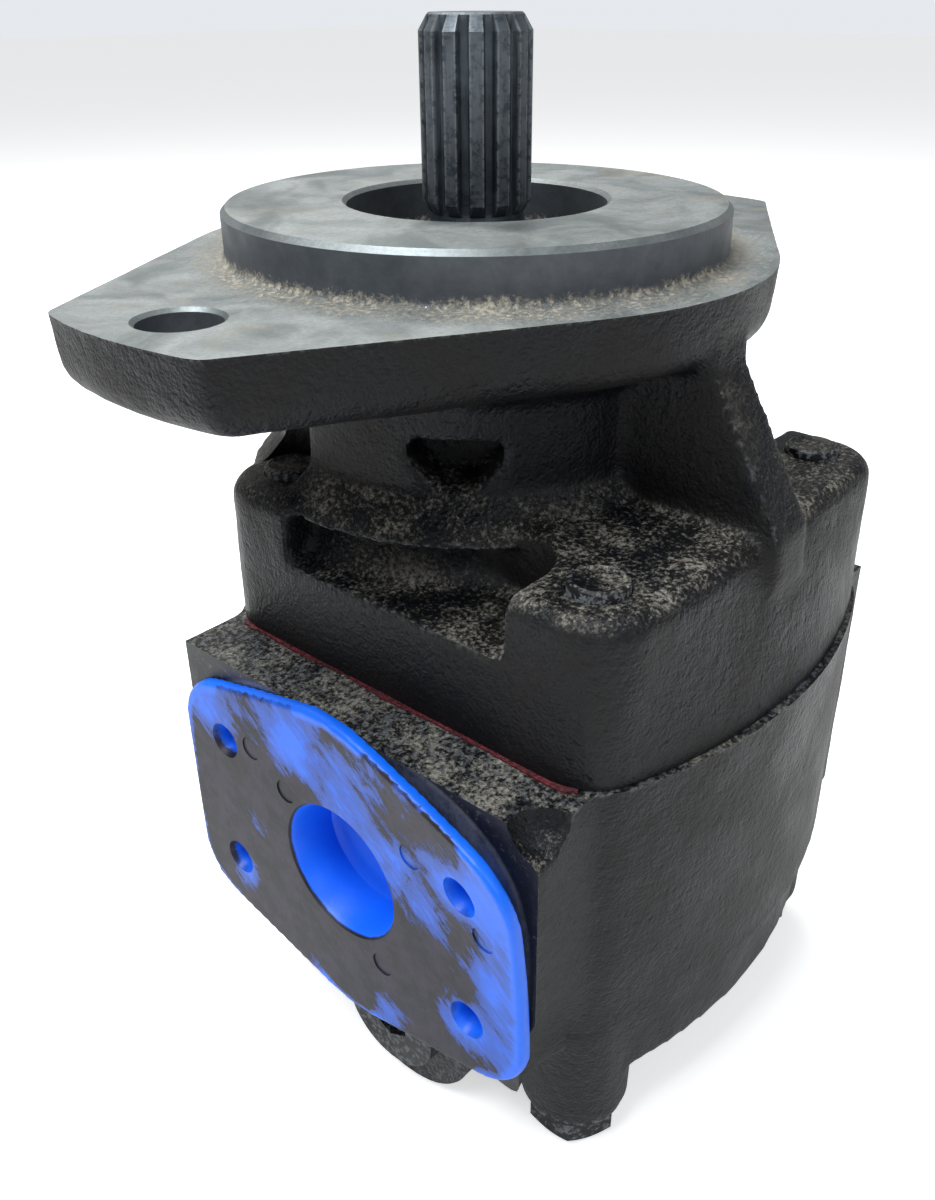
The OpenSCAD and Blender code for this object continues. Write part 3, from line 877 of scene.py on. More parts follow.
@dataclass
class Layout:
    """Places that several pieces share, worked out from the frame."""

    front_joint: float = field(default_factory=lambda: high_mm("gear_housing").z)
    rear_joint: float = field(default_factory=lambda: high_mm("port_end_cover").z)
    outlet_x: float = field(default_factory=lambda: -low_mm("gear_housing").x)
    inlet_x: float = field(default_factory=lambda: high_mm("gear_housing").x)
    pad_low_z: float = field(default_factory=lambda: low_mm("gear_housing").z)
    pilot_top: float = field(default_factory=lambda: high_mm("shaft_end_cover").z)
    ear_x: float = field(default_factory=lambda: high_mm("shaft_end_cover").x)
    flange_r: float = field(default_factory=lambda: high_mm("shaft_end_cover").y)
    shaft_top: float = field(default_factory=lambda: high_mm("drive_gear_shaft").z)
    screw_top: float = field(default_factory=lambda: high_mm("clamp_screws").z)
    screw_low: float = field(default_factory=lambda: low_mm("clamp_screws").z)
    gear_y: float = field(default_factory=lambda: middle_mm("driven_gear_shaft").y)
    head_r: float = 10.1
    washer_r: float = 10.8
    corner_r: float = 13.5
    screw_r: float = 5.55
    screw_hole_r: float = 5.75
    bearing_r: float = 20.0
    boss_depth: float = 2.0

    def __post_init__(self) -> None:
        """Works out the places that follow from the others."""
        self.half_x = high_mm("clamp_screws").x - self.head_r
        self.mid_y = self.gear_y / 2
        self.half_y = high_mm("screw_washers").y - self.mid_y - self.washer_r
        self.boss_z = self.screw_top - self.boss_depth
        self.port_z = middle_mm("outlet_cap").z
        self.bulge = high_mm("gear_housing").y - self.mid_y - self.half_y - self.corner_r

    def screws(self) -> list[Point]:
        """The centres of the four clamp screws."""
        return [(x, self.mid_y + y) for x, y in corners(self.half_x, self.half_y)]

    def outline(self, radius: float, bulge: float) -> list[Point]:
        """The body's outline: round corners joined by straight sides and gently curved ends.

        Args:
            radius: the corner radius.
            bulge: how far the ends stand past the corners.

        Returns:
            The outline, anticlockwise.
        """
        rise = radius + bulge
        big = (self.half_x**2 + rise**2 - radius**2) / (2 * (rise - radius))
        lean = math.degrees(math.atan2(big - rise, self.half_x))
        end = self.half_y + rise - big
        upper = [
            *arc((self.half_x, self.half_y), radius, 0, lean, 10),
            *arc((0, end), big, lean, 180 - lean, 30)[1:-1],
            *arc((-self.half_x, self.half_y), radius, 180 - lean, 180, 10),
        ]
        lower = [(-x, -y) for x, y in upper]
        return [(x, y + self.mid_y) for x, y in [*upper, *lower]]


def link_outline(big_r: float, a: float, b: float, r: float, limit: float = 1e9) -> list[Point]:
    """The outline of a disc and four small discs joined by their outer tangents.

    Args:
        big_r: the middle disc's radius.
        a: the small discs' distance along X.
        b: the small discs' distance along Y.
        r: the small discs' radius.
        limit: no point lies further out than this.

    Returns:
        The outline, anticlockwise.
    """
    slope = math.degrees(math.atan2(b, a) + math.acos((big_r - r) / math.hypot(a, b)))
    quarter = [
        *[(a + r, b * i / 6) for i in range(6)],
        *arc((a, b), r, 0, slope, 10),
        *arc((0, 0), big_r, slope, 90, 14),
    ]
    left = [(-x, y) for x, y in reversed(quarter[:-1])]
    upper = [*quarter, *left]
    lower = [(-x, -y) for x, y in upper[1:-1]]
    spread = []
    for x, y in [*upper, *lower]:
        shrink = min(1.0, limit / math.hypot(x, y))
        spread.append((x * shrink, y * shrink))
    return spread


def shrunk(outline: Sequence[Point], by: float) -> list[Point]:
    """An outline pulled in towards the origin by a fixed distance."""
    return [(x * (1 - by / math.hypot(x, y)), y * (1 - by / math.hypot(x, y))) for x, y in outline]


@dataclass
class Piece:
    """A part of the pump that is shaped here."""

    at: Layout
    looks: Finishes


@dataclass
class ShaftEndCover(Piece):
    """The front casting: flange, pilot, neck, ribs and corner bosses."""

    flange_t: float = 14.0
    ear_corner_r: float = 9.0
    ear_corner_y: float = 13.5
    pilot_r: float = 50.8
    recess_r: float = 26.2
    neck_r: float = 42.0
    valley_z: float = -55.0
    hole_x: float = 73.025
    hole_r: float = 7.15
    scallop_r: float = 8.6
    scallop_h: float = 19.0
    bearing_pocket: float = 27.5
    shaft_bore_r: float = 15.8
    seal_r: float = 22.0
    groove_r: float = 23.2
    chamfer: float = 1.05
    voxel: float = 1.15
    rounds: int = 7

    def _flange(self, shop: Workshop) -> None:
        """Adds the flange with a drafted, rounded underside."""
        ear_x, r = self.at.ear_x, self.ear_corner_r
        outline = link_outline(self.at.flange_r, ear_x - r + 1, self.ear_corner_y, r, ear_x)
        low = -self.flange_t
        shop.loft(
            (shrunk(outline, 7.0), low),
            (shrunk(outline, 4.2), low + 0.9),
            (shrunk(outline, 2.4), low + 2.4),
            (shrunk(outline, 1.2), low + 5),
            (outline, 6.0),
        )

    def _body(self) -> Mesh:
        """The drafted body block with a valley cut into each side."""
        shop = Workshop()
        top = self.at.outline(self.at.corner_r - 1.0, 0.8)
        foot = self.at.outline(self.at.corner_r - 0.6, self.at.bulge)
        rounded = self.at.outline(self.at.corner_r - 3.2, 0.6)
        shop.loft((foot, self.at.front_joint - 6), (top, self.at.boss_z - 2.4), (rounded, self.at.boss_z))
        block = shop.mesh("block")
        y0 = self.at.mid_y - self.at.half_y + 11
        y1 = self.at.mid_y + self.at.half_y - 11
        for side in (-1, 1):
            x0, x1 = sorted((side * 31.0, side * 90.0))
            shop.block((x0, y0, self.valley_z), (x1, y1, 0.0), 9.0)
        return Workshop.cut(block, shop.mesh("valleys"))

    def _neck(self) -> Mesh:
        """The neck with its two D-shaped cored pockets."""
        shop = Workshop()
        shop.cylinder(0, 0, self.at.front_joint - 4, -2, self.neck_r, sides=128)
        neck = shop.mesh("neck")
        for turn in (-145.0, -35.0):
            half = arc((0, 0), 9.2, 180, 360, 14)
            rim = [(y, x) for x, y in half]
            shop.loft((rim, 0.0), (rim, 16.0))
            place = (
                Matrix.Rotation(math.radians(turn), 4, "Z")
                @ Matrix.Translation((self.neck_r - 11, 0, -27))
                @ Matrix.Rotation(math.pi / 2, 4, "Y")
                @ Matrix.Rotation(math.pi, 4, "Z")
            )
            fresh = [v for v in shop.bm.verts if not v.tag]
            bmesh.ops.transform(shop.bm, matrix=place, verts=fresh)
            for vert in fresh:
                vert.tag = True
        return Workshop.cut(neck, shop.mesh("pockets"))

    def _rib(self, shop: Workshop, side: float, top: float, foot: float) -> None:
        """Adds one sloping rib between the flange and the body."""
        root, high, low, width = 20.0, -8.0, -52.0, 6.0
        outside = [(top - 1, high), (top, -self.flange_t), (foot, self.at.boss_z), (foot, low)]
        profile = [(root, high), *outside, (root, low)]
        face = shop.bm.faces.new([shop.bm.verts.new((-width, side * y, z)) for y, z in profile])
        shop.thicken([face], (2 * width, 0, 0))

    def _blank(self) -> Mesh:
        """The raw casting before it is machined."""
        shop = Workshop()
        shop.take(self._body())
        shop.take(self._neck())
        self._flange(shop)
        shop.cylinder(0, 0, self.at.boss_z - 3, self.at.boss_z + 5, self.neck_r + 8, self.neck_r, sides=96)
        shop.cylinder(0, 0, self.valley_z - 3, self.valley_z + 7, self.neck_r + 7, self.neck_r, sides=96)
        shop.cylinder(0, 0, -self.flange_t - 6, -self.flange_t + 2, self.neck_r, self.neck_r + 8, sides=96)
        self._rib(shop, -1, 60.5, 76.5)
        self._rib(shop, 1, 54.0, 36.0)
        return Workshop.cast(shop.mesh("blank"), self.voxel, self.rounds)

    def _tools(self) -> Mesh:
        """Everything that is bored or drilled, as one closed tool."""
        shop = Workshop()
        foot = self.at.front_joint - 1
        deep = foot + self.bearing_pocket
        wide, narrow, seal, groove = self.at.bearing_r, self.shaft_bore_r, self.seal_r, self.groove_r
        pocket = [(0, foot), (wide, foot), (wide, deep), (narrow, deep), (narrow, -14.5)]
        seal_seat = [(seal, -14.5), (seal, -5.0), (groove, -5.0), (groove, -3.5), (seal, -3.5), (seal, -3.0)]
        mouth = [(self.recess_r, -3.0), (self.recess_r, 3.0), (0, 3.0)]
        shop.turned([*pocket, *seal_seat, *mouth])
        shop.cylinder(0, self.at.gear_y, foot, deep, wide)
        for x, y in self.at.screws():
            r, seat, top = self.at.screw_hole_r, self.at.boss_z + 0.15, self.at.boss_z + self.scallop_h
            scallop = arc((self.scallop_r - 5, top - 5), 5, 0, 90, 6)
            profile = [(0, foot), (r, foot), (r, seat), (self.scallop_r, seat), *scallop, (0, top)]
            shop.turned(profile, centre=(x, y, 0), sides=64)
        for side in (-1, 1):
            r = self.hole_r
            low = -self.flange_t - 3
            hole = [(0, low), (r, low), (r, -0.7), (r + 1.7, 1.0), (0, 1.0)]
            shop.turned(hole, centre=(side * self.hole_x, 0, 0), sides=64)
        return shop.mesh("bores")

    def _pilot(self, shop: Workshop) -> None:
        """Adds the turned pilot with its bright chamfers and the small fillet at its foot."""
        top, low, fillet, break_mm = self.at.pilot_top, -0.5, 1.4, 0.8
        foot = arc((self.pilot_r + fillet, fillet), fillet, 270, 180, 5)
        outside = [(self.pilot_r + fillet, low), *foot, (self.pilot_r, top - self.chamfer)]
        inside = [(self.recess_r + break_mm, top), (self.recess_r, top - break_mm), (self.recess_r, low)]
        ring = Workshop()
        ring.turned(
            [(self.recess_r, low), *outside, (self.pilot_r - self.chamfer, top), *inside], sides=180
        )
        shop.take(ring.mesh("pilot"))

    def build(self) -> Object:
        """Casts, machines and dresses the cover."""
        shop = Workshop()
        shop.take(self._blank())
        shop.face_off((0, 0, 0), (0, 0, 1))
        shop.face_off((0, 0, self.at.front_joint), (0, 0, -1))
        machined = Workshop.cut(shop.mesh("machined"), self._tools())
        shop.take(machined)
        self._pilot(shop)

        def choose(centre: Vector, normal: Vector) -> int:
            """Bare metal on the flange top, the pilot and the bores."""
            if centre.z > -0.02:
                return 1
            inside = math.hypot(centre.x, centre.y) < self.recess_r + 0.3 and centre.z > -20
            hole = math.hypot(abs(centre.x) - self.hole_x, centre.y) < self.hole_r + 1.2
            return 1 if inside or (hole and centre.z > -12) else 0

        skins = [self.looks["cast_paint"], self.looks["machined_iron"]]
        piece = shop.finish("cover_casting", Body.HOUSING, skins, choose)
        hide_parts("shaft_end_cover")
        return piece


@dataclass
class GearHousing(Piece):
    """The middle casting with a port pad on each side."""

    pad_low_y: float = -69.0
    pad_high_y: float = 25.5
    chamber_r: float = 25.495
    port_floor_x: float = 30.0
    throat_x: float = 8.0
    outlet_r: float = 15.875
    inlet_r: float = 19.05
    core_step: float = 3.0
    outlet_holes: Point = (33.35, 15.9)
    inlet_holes: Point = (34.925, 17.85)
    tapped_r: float = 5.5
    outlet_tap: float = 14.5
    inlet_tap: float = 10.5
    voxel: float = 1.15
    rounds: int = 4

    def _blank(self) -> Mesh:
        """The raw casting before it is machined."""
        shop = Workshop()
        low, high = self.at.rear_joint - 6, self.at.front_joint + 6
        left, right = -self.at.outlet_x, self.at.inlet_x
        body = self.at.outline(self.at.corner_r, self.at.bulge - 0.3)
        shop.loft((body, low), (body, high))
        shop.block((left - 4, self.pad_low_y, self.at.pad_low_z), (-40, self.pad_high_y, high), 2.5)
        shop.block((40, self.pad_low_y, self.at.pad_low_z), (right + 4, self.pad_high_y, high), 2.5)
        solid = shop.mesh("housing")
        shop.ball((left + 5, self.pad_low_y - 3.0, self.at.rear_joint - 2), (11.0, 7.5, 22.0))
        hollowed = Workshop.cut(Workshop.cast(solid, self.voxel, 1, 0.0), shop.mesh("arch"))
        shop.ball((left + 2, self.pad_low_y - 0.5, self.at.front_joint + 1), (7.0, 8.0, 7.5))
        return Workshop.cast(Workshop.cut(hollowed, shop.mesh("relief")), self.voxel, self.rounds)

    def _joint_cut(self) -> Mesh:
        """What is milled away below the rear joint: everything but the hanging edges of the pads."""
        shop = Workshop()
        wall, far = self.at.half_x + self.at.corner_r - 0.5, 90.0
        low_y, high_y = self.pad_low_y - 0.4, self.pad_high_y + 0.4
        right = [(far, -130.0), (far, low_y), (wall, low_y), (wall, high_y), (far, high_y), (far, 90.0)]
        outline = [*right, *[(-x, y) for x, y in reversed(right)]]
        shop.loft((outline, self.at.rear_joint - 40), (outline, self.at.rear_joint))
        return shop.mesh("joint_cut")

    def _tools(self) -> Mesh:
        """Ports, tapped holes and screw holes, as one closed tool."""
        shop = Workshop()
        sides = (
            (-1, self.at.outlet_x, self.outlet_r, self.outlet_holes, self.outlet_tap),
            (1, self.at.inlet_x, self.inlet_r, self.inlet_holes, self.inlet_tap),
        )
        for side, pad_x, r, (dy, dz), depth in sides:
            reach = pad_x + 1
            throat = r - self.core_step
            port = [(0, reach), (r + 0.9, reach), (r, pad_x - 0.5), (r, self.port_floor_x)]
            port += [(throat, self.port_floor_x), (throat, self.throat_x), (0, self.throat_x)]
            shop.turned([(a, side * h) for a, h in port], Axis.X, (0, self.at.mid_y, self.at.port_z), 72)
            floor = pad_x - depth
            tap = [(0, reach), (self.tapped_r + 0.9, reach), (self.tapped_r, pad_x - 0.6)]
            tap += [(self.tapped_r, floor), (0, floor - 1)]
            for y, z in corners(dy, dz):
                centre = (0, self.at.mid_y + y, self.at.port_z + z)
                shop.turned([(a, side * h) for a, h in tap], Axis.X, centre, 40)
        low, high = self.at.rear_joint - 1, self.at.front_joint + 1
        for x, y in self.at.screws():
            shop.cylinder(x, y, low, high, self.at.screw_hole_r, sides=48)
        return shop.mesh("ports")

    def build(self) -> Object:
        """Casts, machines and dresses the housing."""
        shop = Workshop()
        shop.take(self._blank())
        shop.face_off((0, 0, self.at.front_joint), (0, 0, 1))
        shop.face_off((-self.at.outlet_x, 0, 0), (-1, 0, 0))
        shop.face_off((self.at.inlet_x, 0, 0), (1, 0, 0))
        mesh = Workshop.cut(shop.mesh("machined"), self._joint_cut())
        for y in (0.0, self.at.gear_y):
            shop.cylinder(0, y, self.at.rear_joint - 1, self.at.front_joint + 1, self.chamber_r, sides=128)
            mesh = Workshop.cut(mesh, shop.mesh("chamber"))
        mesh = Workshop.cut(mesh, self._tools())
        shop.take(mesh)

        def choose(centre: Vector, normal: Vector) -> int:
            """Bare metal on the pad faces and inside the ports and chambers."""
            beyond = centre.x < 0.02 - self.at.outlet_x or centre.x > self.at.inlet_x - 0.02
            pad = beyond and abs(normal.x) > 0.98
            bore = math.hypot(centre.y - self.at.mid_y, centre.z - self.at.port_z) < self.inlet_r + 1
            return 1 if pad or bore else 0

        skins = [self.looks["cast_paint"], self.looks["pad_steel"]]
        piece = shop.finish("housing_casting", Body.HOUSING, skins, choose)
        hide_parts("gear_housing")
        return piece


@dataclass
class RearCover(Piece):
    """The rear casting with its screw bosses, bearing domes and the port lobe."""

    inset: float = 1.5
    plate_t: float = 19.0
    dome_r: float = 27.0
    lobe_r: float = 20.0
    lobe_y: float = -26.0
    lobe_z: float = -152.0
    lobe_bore_r: float = 9.05
    lobe_mouth_r: float = 10.1
    seat_r: float = 12.2
    bearing_pocket: float = 26.5
    voxel: float = 1.1
    rounds: int = 7

    def build(self) -> Object:
        """Casts, machines and dresses the cover."""
        shop = Workshop()
        joint = self.at.rear_joint
        low = joint - self.plate_t
        head = low_mm("screw_washers").z + 2.2
        dome = low_mm("port_end_cover").z
        lobe_x = low_mm("port_end_cover").x
        body = self.at.outline(self.at.corner_r - self.inset, self.at.bulge)
        foot = self.at.outline(self.at.corner_r - self.inset - 1.4, self.at.bulge)
        shop.loft((foot, low), (body, joint + 6))
        for x, y in self.at.screws():
            shop.cylinder(x, y, head - 3, joint - 2, self.at.corner_r - 1.9, self.at.corner_r - self.inset)
        for y in (0.0, self.at.gear_y):
            shop.cylinder(0, y, dome, joint - 4, self.dome_r - 1, self.dome_r + 2, sides=96)
        shop.block((-self.dome_r, self.at.gear_y, dome), (self.dome_r, 0, joint - 4))
        lobe = [(0, lobe_x - 4), (self.lobe_r, lobe_x - 4), (self.lobe_r, 0), (0, 0)]
        shop.turned(lobe, Axis.X, (0, self.lobe_y, self.lobe_z))
        shop.ball((-30, self.lobe_y, self.lobe_z + 8), (22, 30, 14))
        blank = Workshop.cast(shop.mesh("blank"), self.voxel, self.rounds)
        shop.take(blank)
        shop.face_off((0, 0, joint), (0, 0, 1))
        shop.face_off((lobe_x, 0, 0), (-1, 0, 0))
        mesh = shop.mesh("machined")
        for x, y in self.at.screws():
            shop.cylinder(x, y, head - 20, head, self.seat_r, sides=48)
            shop.cylinder(x, y, head - 2, joint + 1, self.at.screw_hole_r, sides=48)
            mesh = Workshop.cut(mesh, shop.mesh("screw_seat"))
        for y in (0.0, self.at.gear_y):
            shop.cylinder(0, y, joint - self.bearing_pocket, joint + 1, self.at.bearing_r)
        step, floor, r = lobe_x + 1.1, lobe_x + 18, self.lobe_bore_r
        mouth = [(0, lobe_x - 1), (self.lobe_mouth_r + 0.3, lobe_x - 1), (self.lobe_mouth_r, step)]
        shop.turned([*mouth, (r, step), (r, floor), (0, floor)], Axis.X, (0, self.lobe_y, self.lobe_z), 64)
        shop.take(Workshop.cut(mesh, shop.mesh("bores")))
        piece = shop.finish("rear_casting", Body.HOUSING, [self.looks["cast_paint"]])
        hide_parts("port_end_cover")
        return piece


@dataclass
class JointBeads(Piece):
    """Red sealant squeezed from the front joint; the rear joint's stays back inside."""

    depth: float = 3.0

    def _bead(self, name: str, z: float, half: float, proud: Callable[[Vector], float]) -> Object:
        """One uneven band round the body.

        Args:
            name: the piece's name.
            z: the joint's height.
            half: half the band's thickness.
            proud: how far the band stands out at a point.

        Returns:
            The piece.
        """
        shop = Workshop()
        rings = []
        for inset in (0.0, self.depth):
            rim = self.at.outline(self.at.corner_r - inset, self.at.bulge)
            corners = [shop.bm.verts.new((x, y, z - half)) for x, y in rim]
            rings.append([shop.bm.edges.new(pair) for pair in zip(corners, [*corners[1:], corners[0]])])
            if not inset:
                bmesh.ops.subdivide_edges(shop.bm, edges=rings[0], cuts=5)
                rings[0] = list(shop.bm.edges)
        bmesh.ops.bridge_loops(shop.bm, edges=[*rings[0], *rings[1]])
        centre = Vector((0, self.at.mid_y, z))
        outer = {v for face in shop.bm.faces for v in face.verts if self._is_outer(v)}
        for vert in outer:
            away = (vert.co - centre).normalized()
            vert.co += Vector((away.x, away.y, 0)) * proud(vert.co)
        shop.thicken(shop.bm.faces, (0, 0, 2 * half))
        bmesh.ops.recalc_face_normals(shop.bm, faces=shop.bm.faces)
        piece = shop.finish(name, Body.HOUSING, [self.looks["red_sealant"]], sharp_deg=60)
        return piece

    def _is_outer(self, vert: bmesh.types.BMVert) -> bool:
        """Whether a point lies on the body's rim."""
        x = abs(vert.co.x) - self.at.half_x
        y = abs(vert.co.y - self.at.mid_y) - self.at.half_y
        rim = self.at.corner_r - 0.5
        on_end = y > self.at.corner_r - 2.5
        return x > rim or on_end or (x > 0 and math.hypot(x, y) > rim)

    def build(self) -> None:
        """Builds both beads."""

        def front(at: Vector) -> float:
            """Crumbs stand out along the sides with the pads and stay back elsewhere."""
            on_side = 1.0 if at.x < -self.at.half_x - 12 else 0.0
            crumb = noise.noise(at * 0.55) * 1.1 + noise.noise(at * 0.17) * 0.7
            return min(0.7, 0.05 + crumb) if on_side else -2.4

        def rear(at: Vector) -> float:
            """Stays back nearly everywhere."""
            return -2.5 + 0.3 * noise.noise(at * 0.5)

        self._bead("front_joint_bead", self.at.front_joint, 0.38, front)
        self._bead("rear_joint_bead", self.at.rear_joint, 0.25, rear)


@dataclass
class ClampScrews(Piece):
    """The four long clamp screws with their domed ends and hexagon heads."""

    head_t: float = 7.5

    def build(self) -> Object:
        """Builds the four screws as one piece."""
        shop = Workshop()
        r = self.at.screw_r
        top, low = self.at.screw_top, self.at.screw_low
        seat = low + self.head_t
        dished = [(r - 0.9, top), (r - 1.5, top - 0.35), (2.0, top - 0.5), (0, top - 0.5)]
        shank = [(0, seat - 1), (r, seat - 1), (r, top - 0.8), (r - 0.25, top - 0.35), *dished]
        face_r = self.at.head_r * math.cos(math.pi / 6)
        clear_r = self.at.head_r + 0.2
        for x, y in self.at.screws():
            shop.turned(shank, centre=(x, y, 0), sides=64)
            head = Workshop()
            head.cylinder(x, y, low, seat, self.at.head_r, sides=6)
            blank = head.mesh("hexagon")
            head.turned(
                [(0, low), (face_r - 0.6, low), (clear_r, low + 1.6), (clear_r, seat + 1), (0, seat + 1)],
                centre=(x, y, 0),
            )
            shop.take(Workshop.cut(blank, head.mesh("chamfer"), "INTERSECT"))
        piece = shop.finish("clamp_screw_set", Body.HOUSING, [self.looks["screw_paint"]])
        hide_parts("clamp_screws")
        return piece


@dataclass
class DriveShaft(Piece):
    """The splined drive shaft; its gear and journals keep their CAD shape."""

    teeth: int = 13
    tip_r: float = 10.9
    root_r: float = 9.25
    start_z: float = 8.5
    chamfer_h: float = 3.1
    chamfer_in: float = 1.75
    cut_z: float = 1.0
    journal_r: float = 12.7
    land_half: float = 6.9
    flank: float = 2.8

    def _radius(self, angle: float) -> float:
        """The spline's radius at an angle in degrees: flat tips, sloping flanks and narrow roots."""
        pitch = 360 / self.teeth
        off = abs((angle + pitch / 2) % pitch - pitch / 2)
        share = min(1.0, max(0.0, (off - self.land_half) / self.flank))
        return self.tip_r - (self.tip_r - self.root_r) * share * share * (3 - 2 * share)

    def build(self) -> Object:
        """Keeps the CAD gear, and builds the spline and the seal journal on it."""
        shop = Workshop()
        shop.take(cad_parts["drive_gear_shaft"].data)
        bmesh.ops.scale(shop.bm, vec=(1 / MM, 1 / MM, 1 / MM), verts=shop.bm.verts)
        bmesh.ops.remove_doubles(shop.bm, verts=shop.bm.verts, dist=0.002)
        shop.face_off((0, 0, self.cut_z), (0, 0, 1))
        steps = self.teeth * 24
        tip, start, end_r = self.at.shaft_top, self.start_z, self.tip_r - self.chamfer_in
        levels = [
            (0.8, self.journal_r, 0.0),
            (3.0, self.journal_r, 0.0),
            (5.4, 9.6, 0.0),
            (start - 1.4, 9.3, 0.0),
            (start - 0.9, math.inf, 0.35),
            (start + 0.9, math.inf, 1.0),
            (tip - self.chamfer_h, self.tip_r, 1.0),
            (tip - 0.35, end_r + 0.1, 1.0),
            (tip, end_r - 0.35, 1.0),
        ]
        ring = bmesh.ops.create_circle(shop.bm, cap_ends=True, segments=steps, radius=1.0)["verts"]
        face = ring[0].link_faces[0]
        for vert in ring:
            vert.co = Vector((vert.co.x, vert.co.y, 0)) * levels[0][1] + Vector((0, 0, levels[0][0]))
        for z, cap, toothed in levels[1:]:
            face = self._step(shop, face)
            for vert in face.verts:
                angle = math.degrees(math.atan2(vert.co.y, vert.co.x))
                shape = self.root_r + (self._radius(angle) - self.root_r) * toothed if toothed else cap
                radius = min(cap, shape) if toothed else cap
                turn = math.radians(angle)
                vert.co = Vector((math.cos(turn) * radius, math.sin(turn) * radius, z))
        bmesh.ops.recalc_face_normals(shop.bm, faces=shop.bm.faces)
        piece = shop.finish("splined_drive_shaft", Body.DRIVE, [self.looks["shaft_steel"]], sharp_deg=28)
        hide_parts("drive_gear_shaft")
        return piece

    @staticmethod
    def _step(shop: Workshop, face: bmesh.types.BMFace) -> bmesh.types.BMFace:
        """Extrudes the top face once and gives the new top face."""
        made = bmesh.ops.extrude_face_region(shop.bm, geom=[face])["geom"]
        return next(item for item in made if isinstance(item, bmesh.types.BMFace))


@dataclass
class OutletCap(Piece):
    """The moulded plastic cap with its hollow plug and four pegs."""

    middle_r: float = 36.5
    corner_r: float = 13.4
    holes: Point = (33.35, 15.9)
    plate_t: float = 2.7
    plug_r: float = 15.795
    hollow_r: float = 14.3
    plug_depth: float = 13.0
    peg_r: float = 5.4
    peg_bore_r: float = 3.5
    peg_l: float = 11.0
    lift: float = 2.2
    marks: tuple[Point, ...] = ((24.5, 18.2), (-20.5, 16.5), (14.5, 12.5), (-11.0, -17.5), (-38.5, 9.0))

    # Where the blue shows through the overspray: across, up, size and strength.
    BARE_PATCHES = (
        (38, 22, 9, 0.5),
        (32, -18, 6, 0.6),
        (12, 26, 8, 0.5),
        (-2, 20, 9, 0.42),
        (-14, 12, 8, 0.42),
        (-22, 3, 8, 0.4),
        (-33, 16, 8, 0.6),
        (-38, -2, 7, 0.45),
        (-33, -18, 7, 0.6),
        (-12, -31, 6, 0.5),
        (10, -33, 5, 0.4),
        (24, -2, 6, 0.25),
    )

    def _stand(self, mesh: Mesh, face_x: float) -> Mesh:
        """Turns a cap drawn along +Z into place on the pad."""
        place = Matrix(((0, 0, 1, face_x), (1, 0, 0, self.at.mid_y), (0, 1, 0, self.at.port_z), (0, 0, 0, 1)))
        mesh.transform(place)
        return mesh

    def _solid(self) -> Mesh:
        """The moulding, drawn along +Z from its outer face."""
        shop = Workshop()
        rim = link_outline(self.middle_r, *self.holes, self.corner_r)
        shop.loft((shrunk(rim, 0.5), 0.0), (rim, 0.7), (rim, self.plate_t))
        shop.cylinder(0, 0, 0.5, self.plate_t + self.plug_depth, self.plug_r, self.plug_r - 0.2, sides=96)
        for y, z in corners(*self.holes):
            shop.cylinder(y, z, 0.5, self.plate_t + self.peg_l, self.peg_r, self.peg_r - 0.4)
        moulded = Workshop.cast(shop.mesh("moulding"), 0.62, 3, 0.04)
        r, bore = self.hollow_r, self.peg_bore_r
        lip = [(0, -2), (r + 2.4, -2), (r + 0.8, 0.15), (r, 1.3)]
        shop.turned([*lip, (r - 0.5, 10.6), (r - 2.2, 11.9), (0, 12.1)], sides=120)
        opening = [(0, -2), (bore + 0.7, -2), (bore + 0.5, 0.1), (bore, 0.7), (bore - 0.3, 5.0), (0, 5.6)]
        for y, z in corners(*self.holes):
            shop.turned(opening, centre=(y, z, 0), sides=48)
        for y, z in self.marks:
            shop.turned([(0, -2), (2.75, -2), (2.6, 0.28), (0, 0.22)], centre=(y, z, 0), sides=40)
        return Workshop.cut(moulded, shop.mesh("openings"))

    def _overspray(self, y: float, z: float, x_in: float) -> float:
        """How thickly the black paint lies on the face, 0 on bare blue plastic to 1.

        Args:
            y: across the cap from its middle, towards the drive shaft.
            z: up from its middle.
            x_in: how far behind the outer face the point lies.
        """
        if x_in > 0.9:
            return -0.6
        rim = link_outline(self.middle_r, *self.holes, self.corner_r)
        edge = min(math.hypot(y - a, z - b) for a, b in rim)
        right = max(0.0, min(1.0, (y + 47.5) / 14.0))
        above = max(0.0, (z - 8.0) / 22.0)
        cover = 0.78 * min(1.0, edge / 2.6) * (0.25 + 0.75 * right) - 0.22 * above
        for a, b, size, depth in self.BARE_PATCHES:
            cover -= depth * math.exp(-((y - a) ** 2 + (z - b) ** 2) / (size * size))
        hollow = math.hypot(y, z)
        return cover if hollow > self.hollow_r + 0.5 else -0.6

    def build(self) -> Object:
        """Moulds, warps and dresses the cap."""
        shop = Workshop()
        face_x = low_mm("outlet_cap").x
        shop.take(self._stand(self._solid(), face_x))
        bm = shop.bm
        layer = bm.verts.layers.float.new(OversprayedPlastic.attribute)
        for vert in bm.verts:
            y, z = vert.co.y - self.at.mid_y, vert.co.z - self.at.port_z
            vert[layer] = self._overspray(y, z, vert.co.x - face_x)
            outer = max(0.0, 1.0 - max(0.0, vert.co.x - face_x - self.plate_t) / 6.0)
            corner = max(0.0, (-y + z - 22.0) / 34.0)
            vert.co.x -= self.lift * outer * corner * corner
        piece = shop.finish("blue_port_cap", Body.CAP, [self.looks["blue_plastic"]], sharp_deg=40)
        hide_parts("outlet_cap")
        return piece


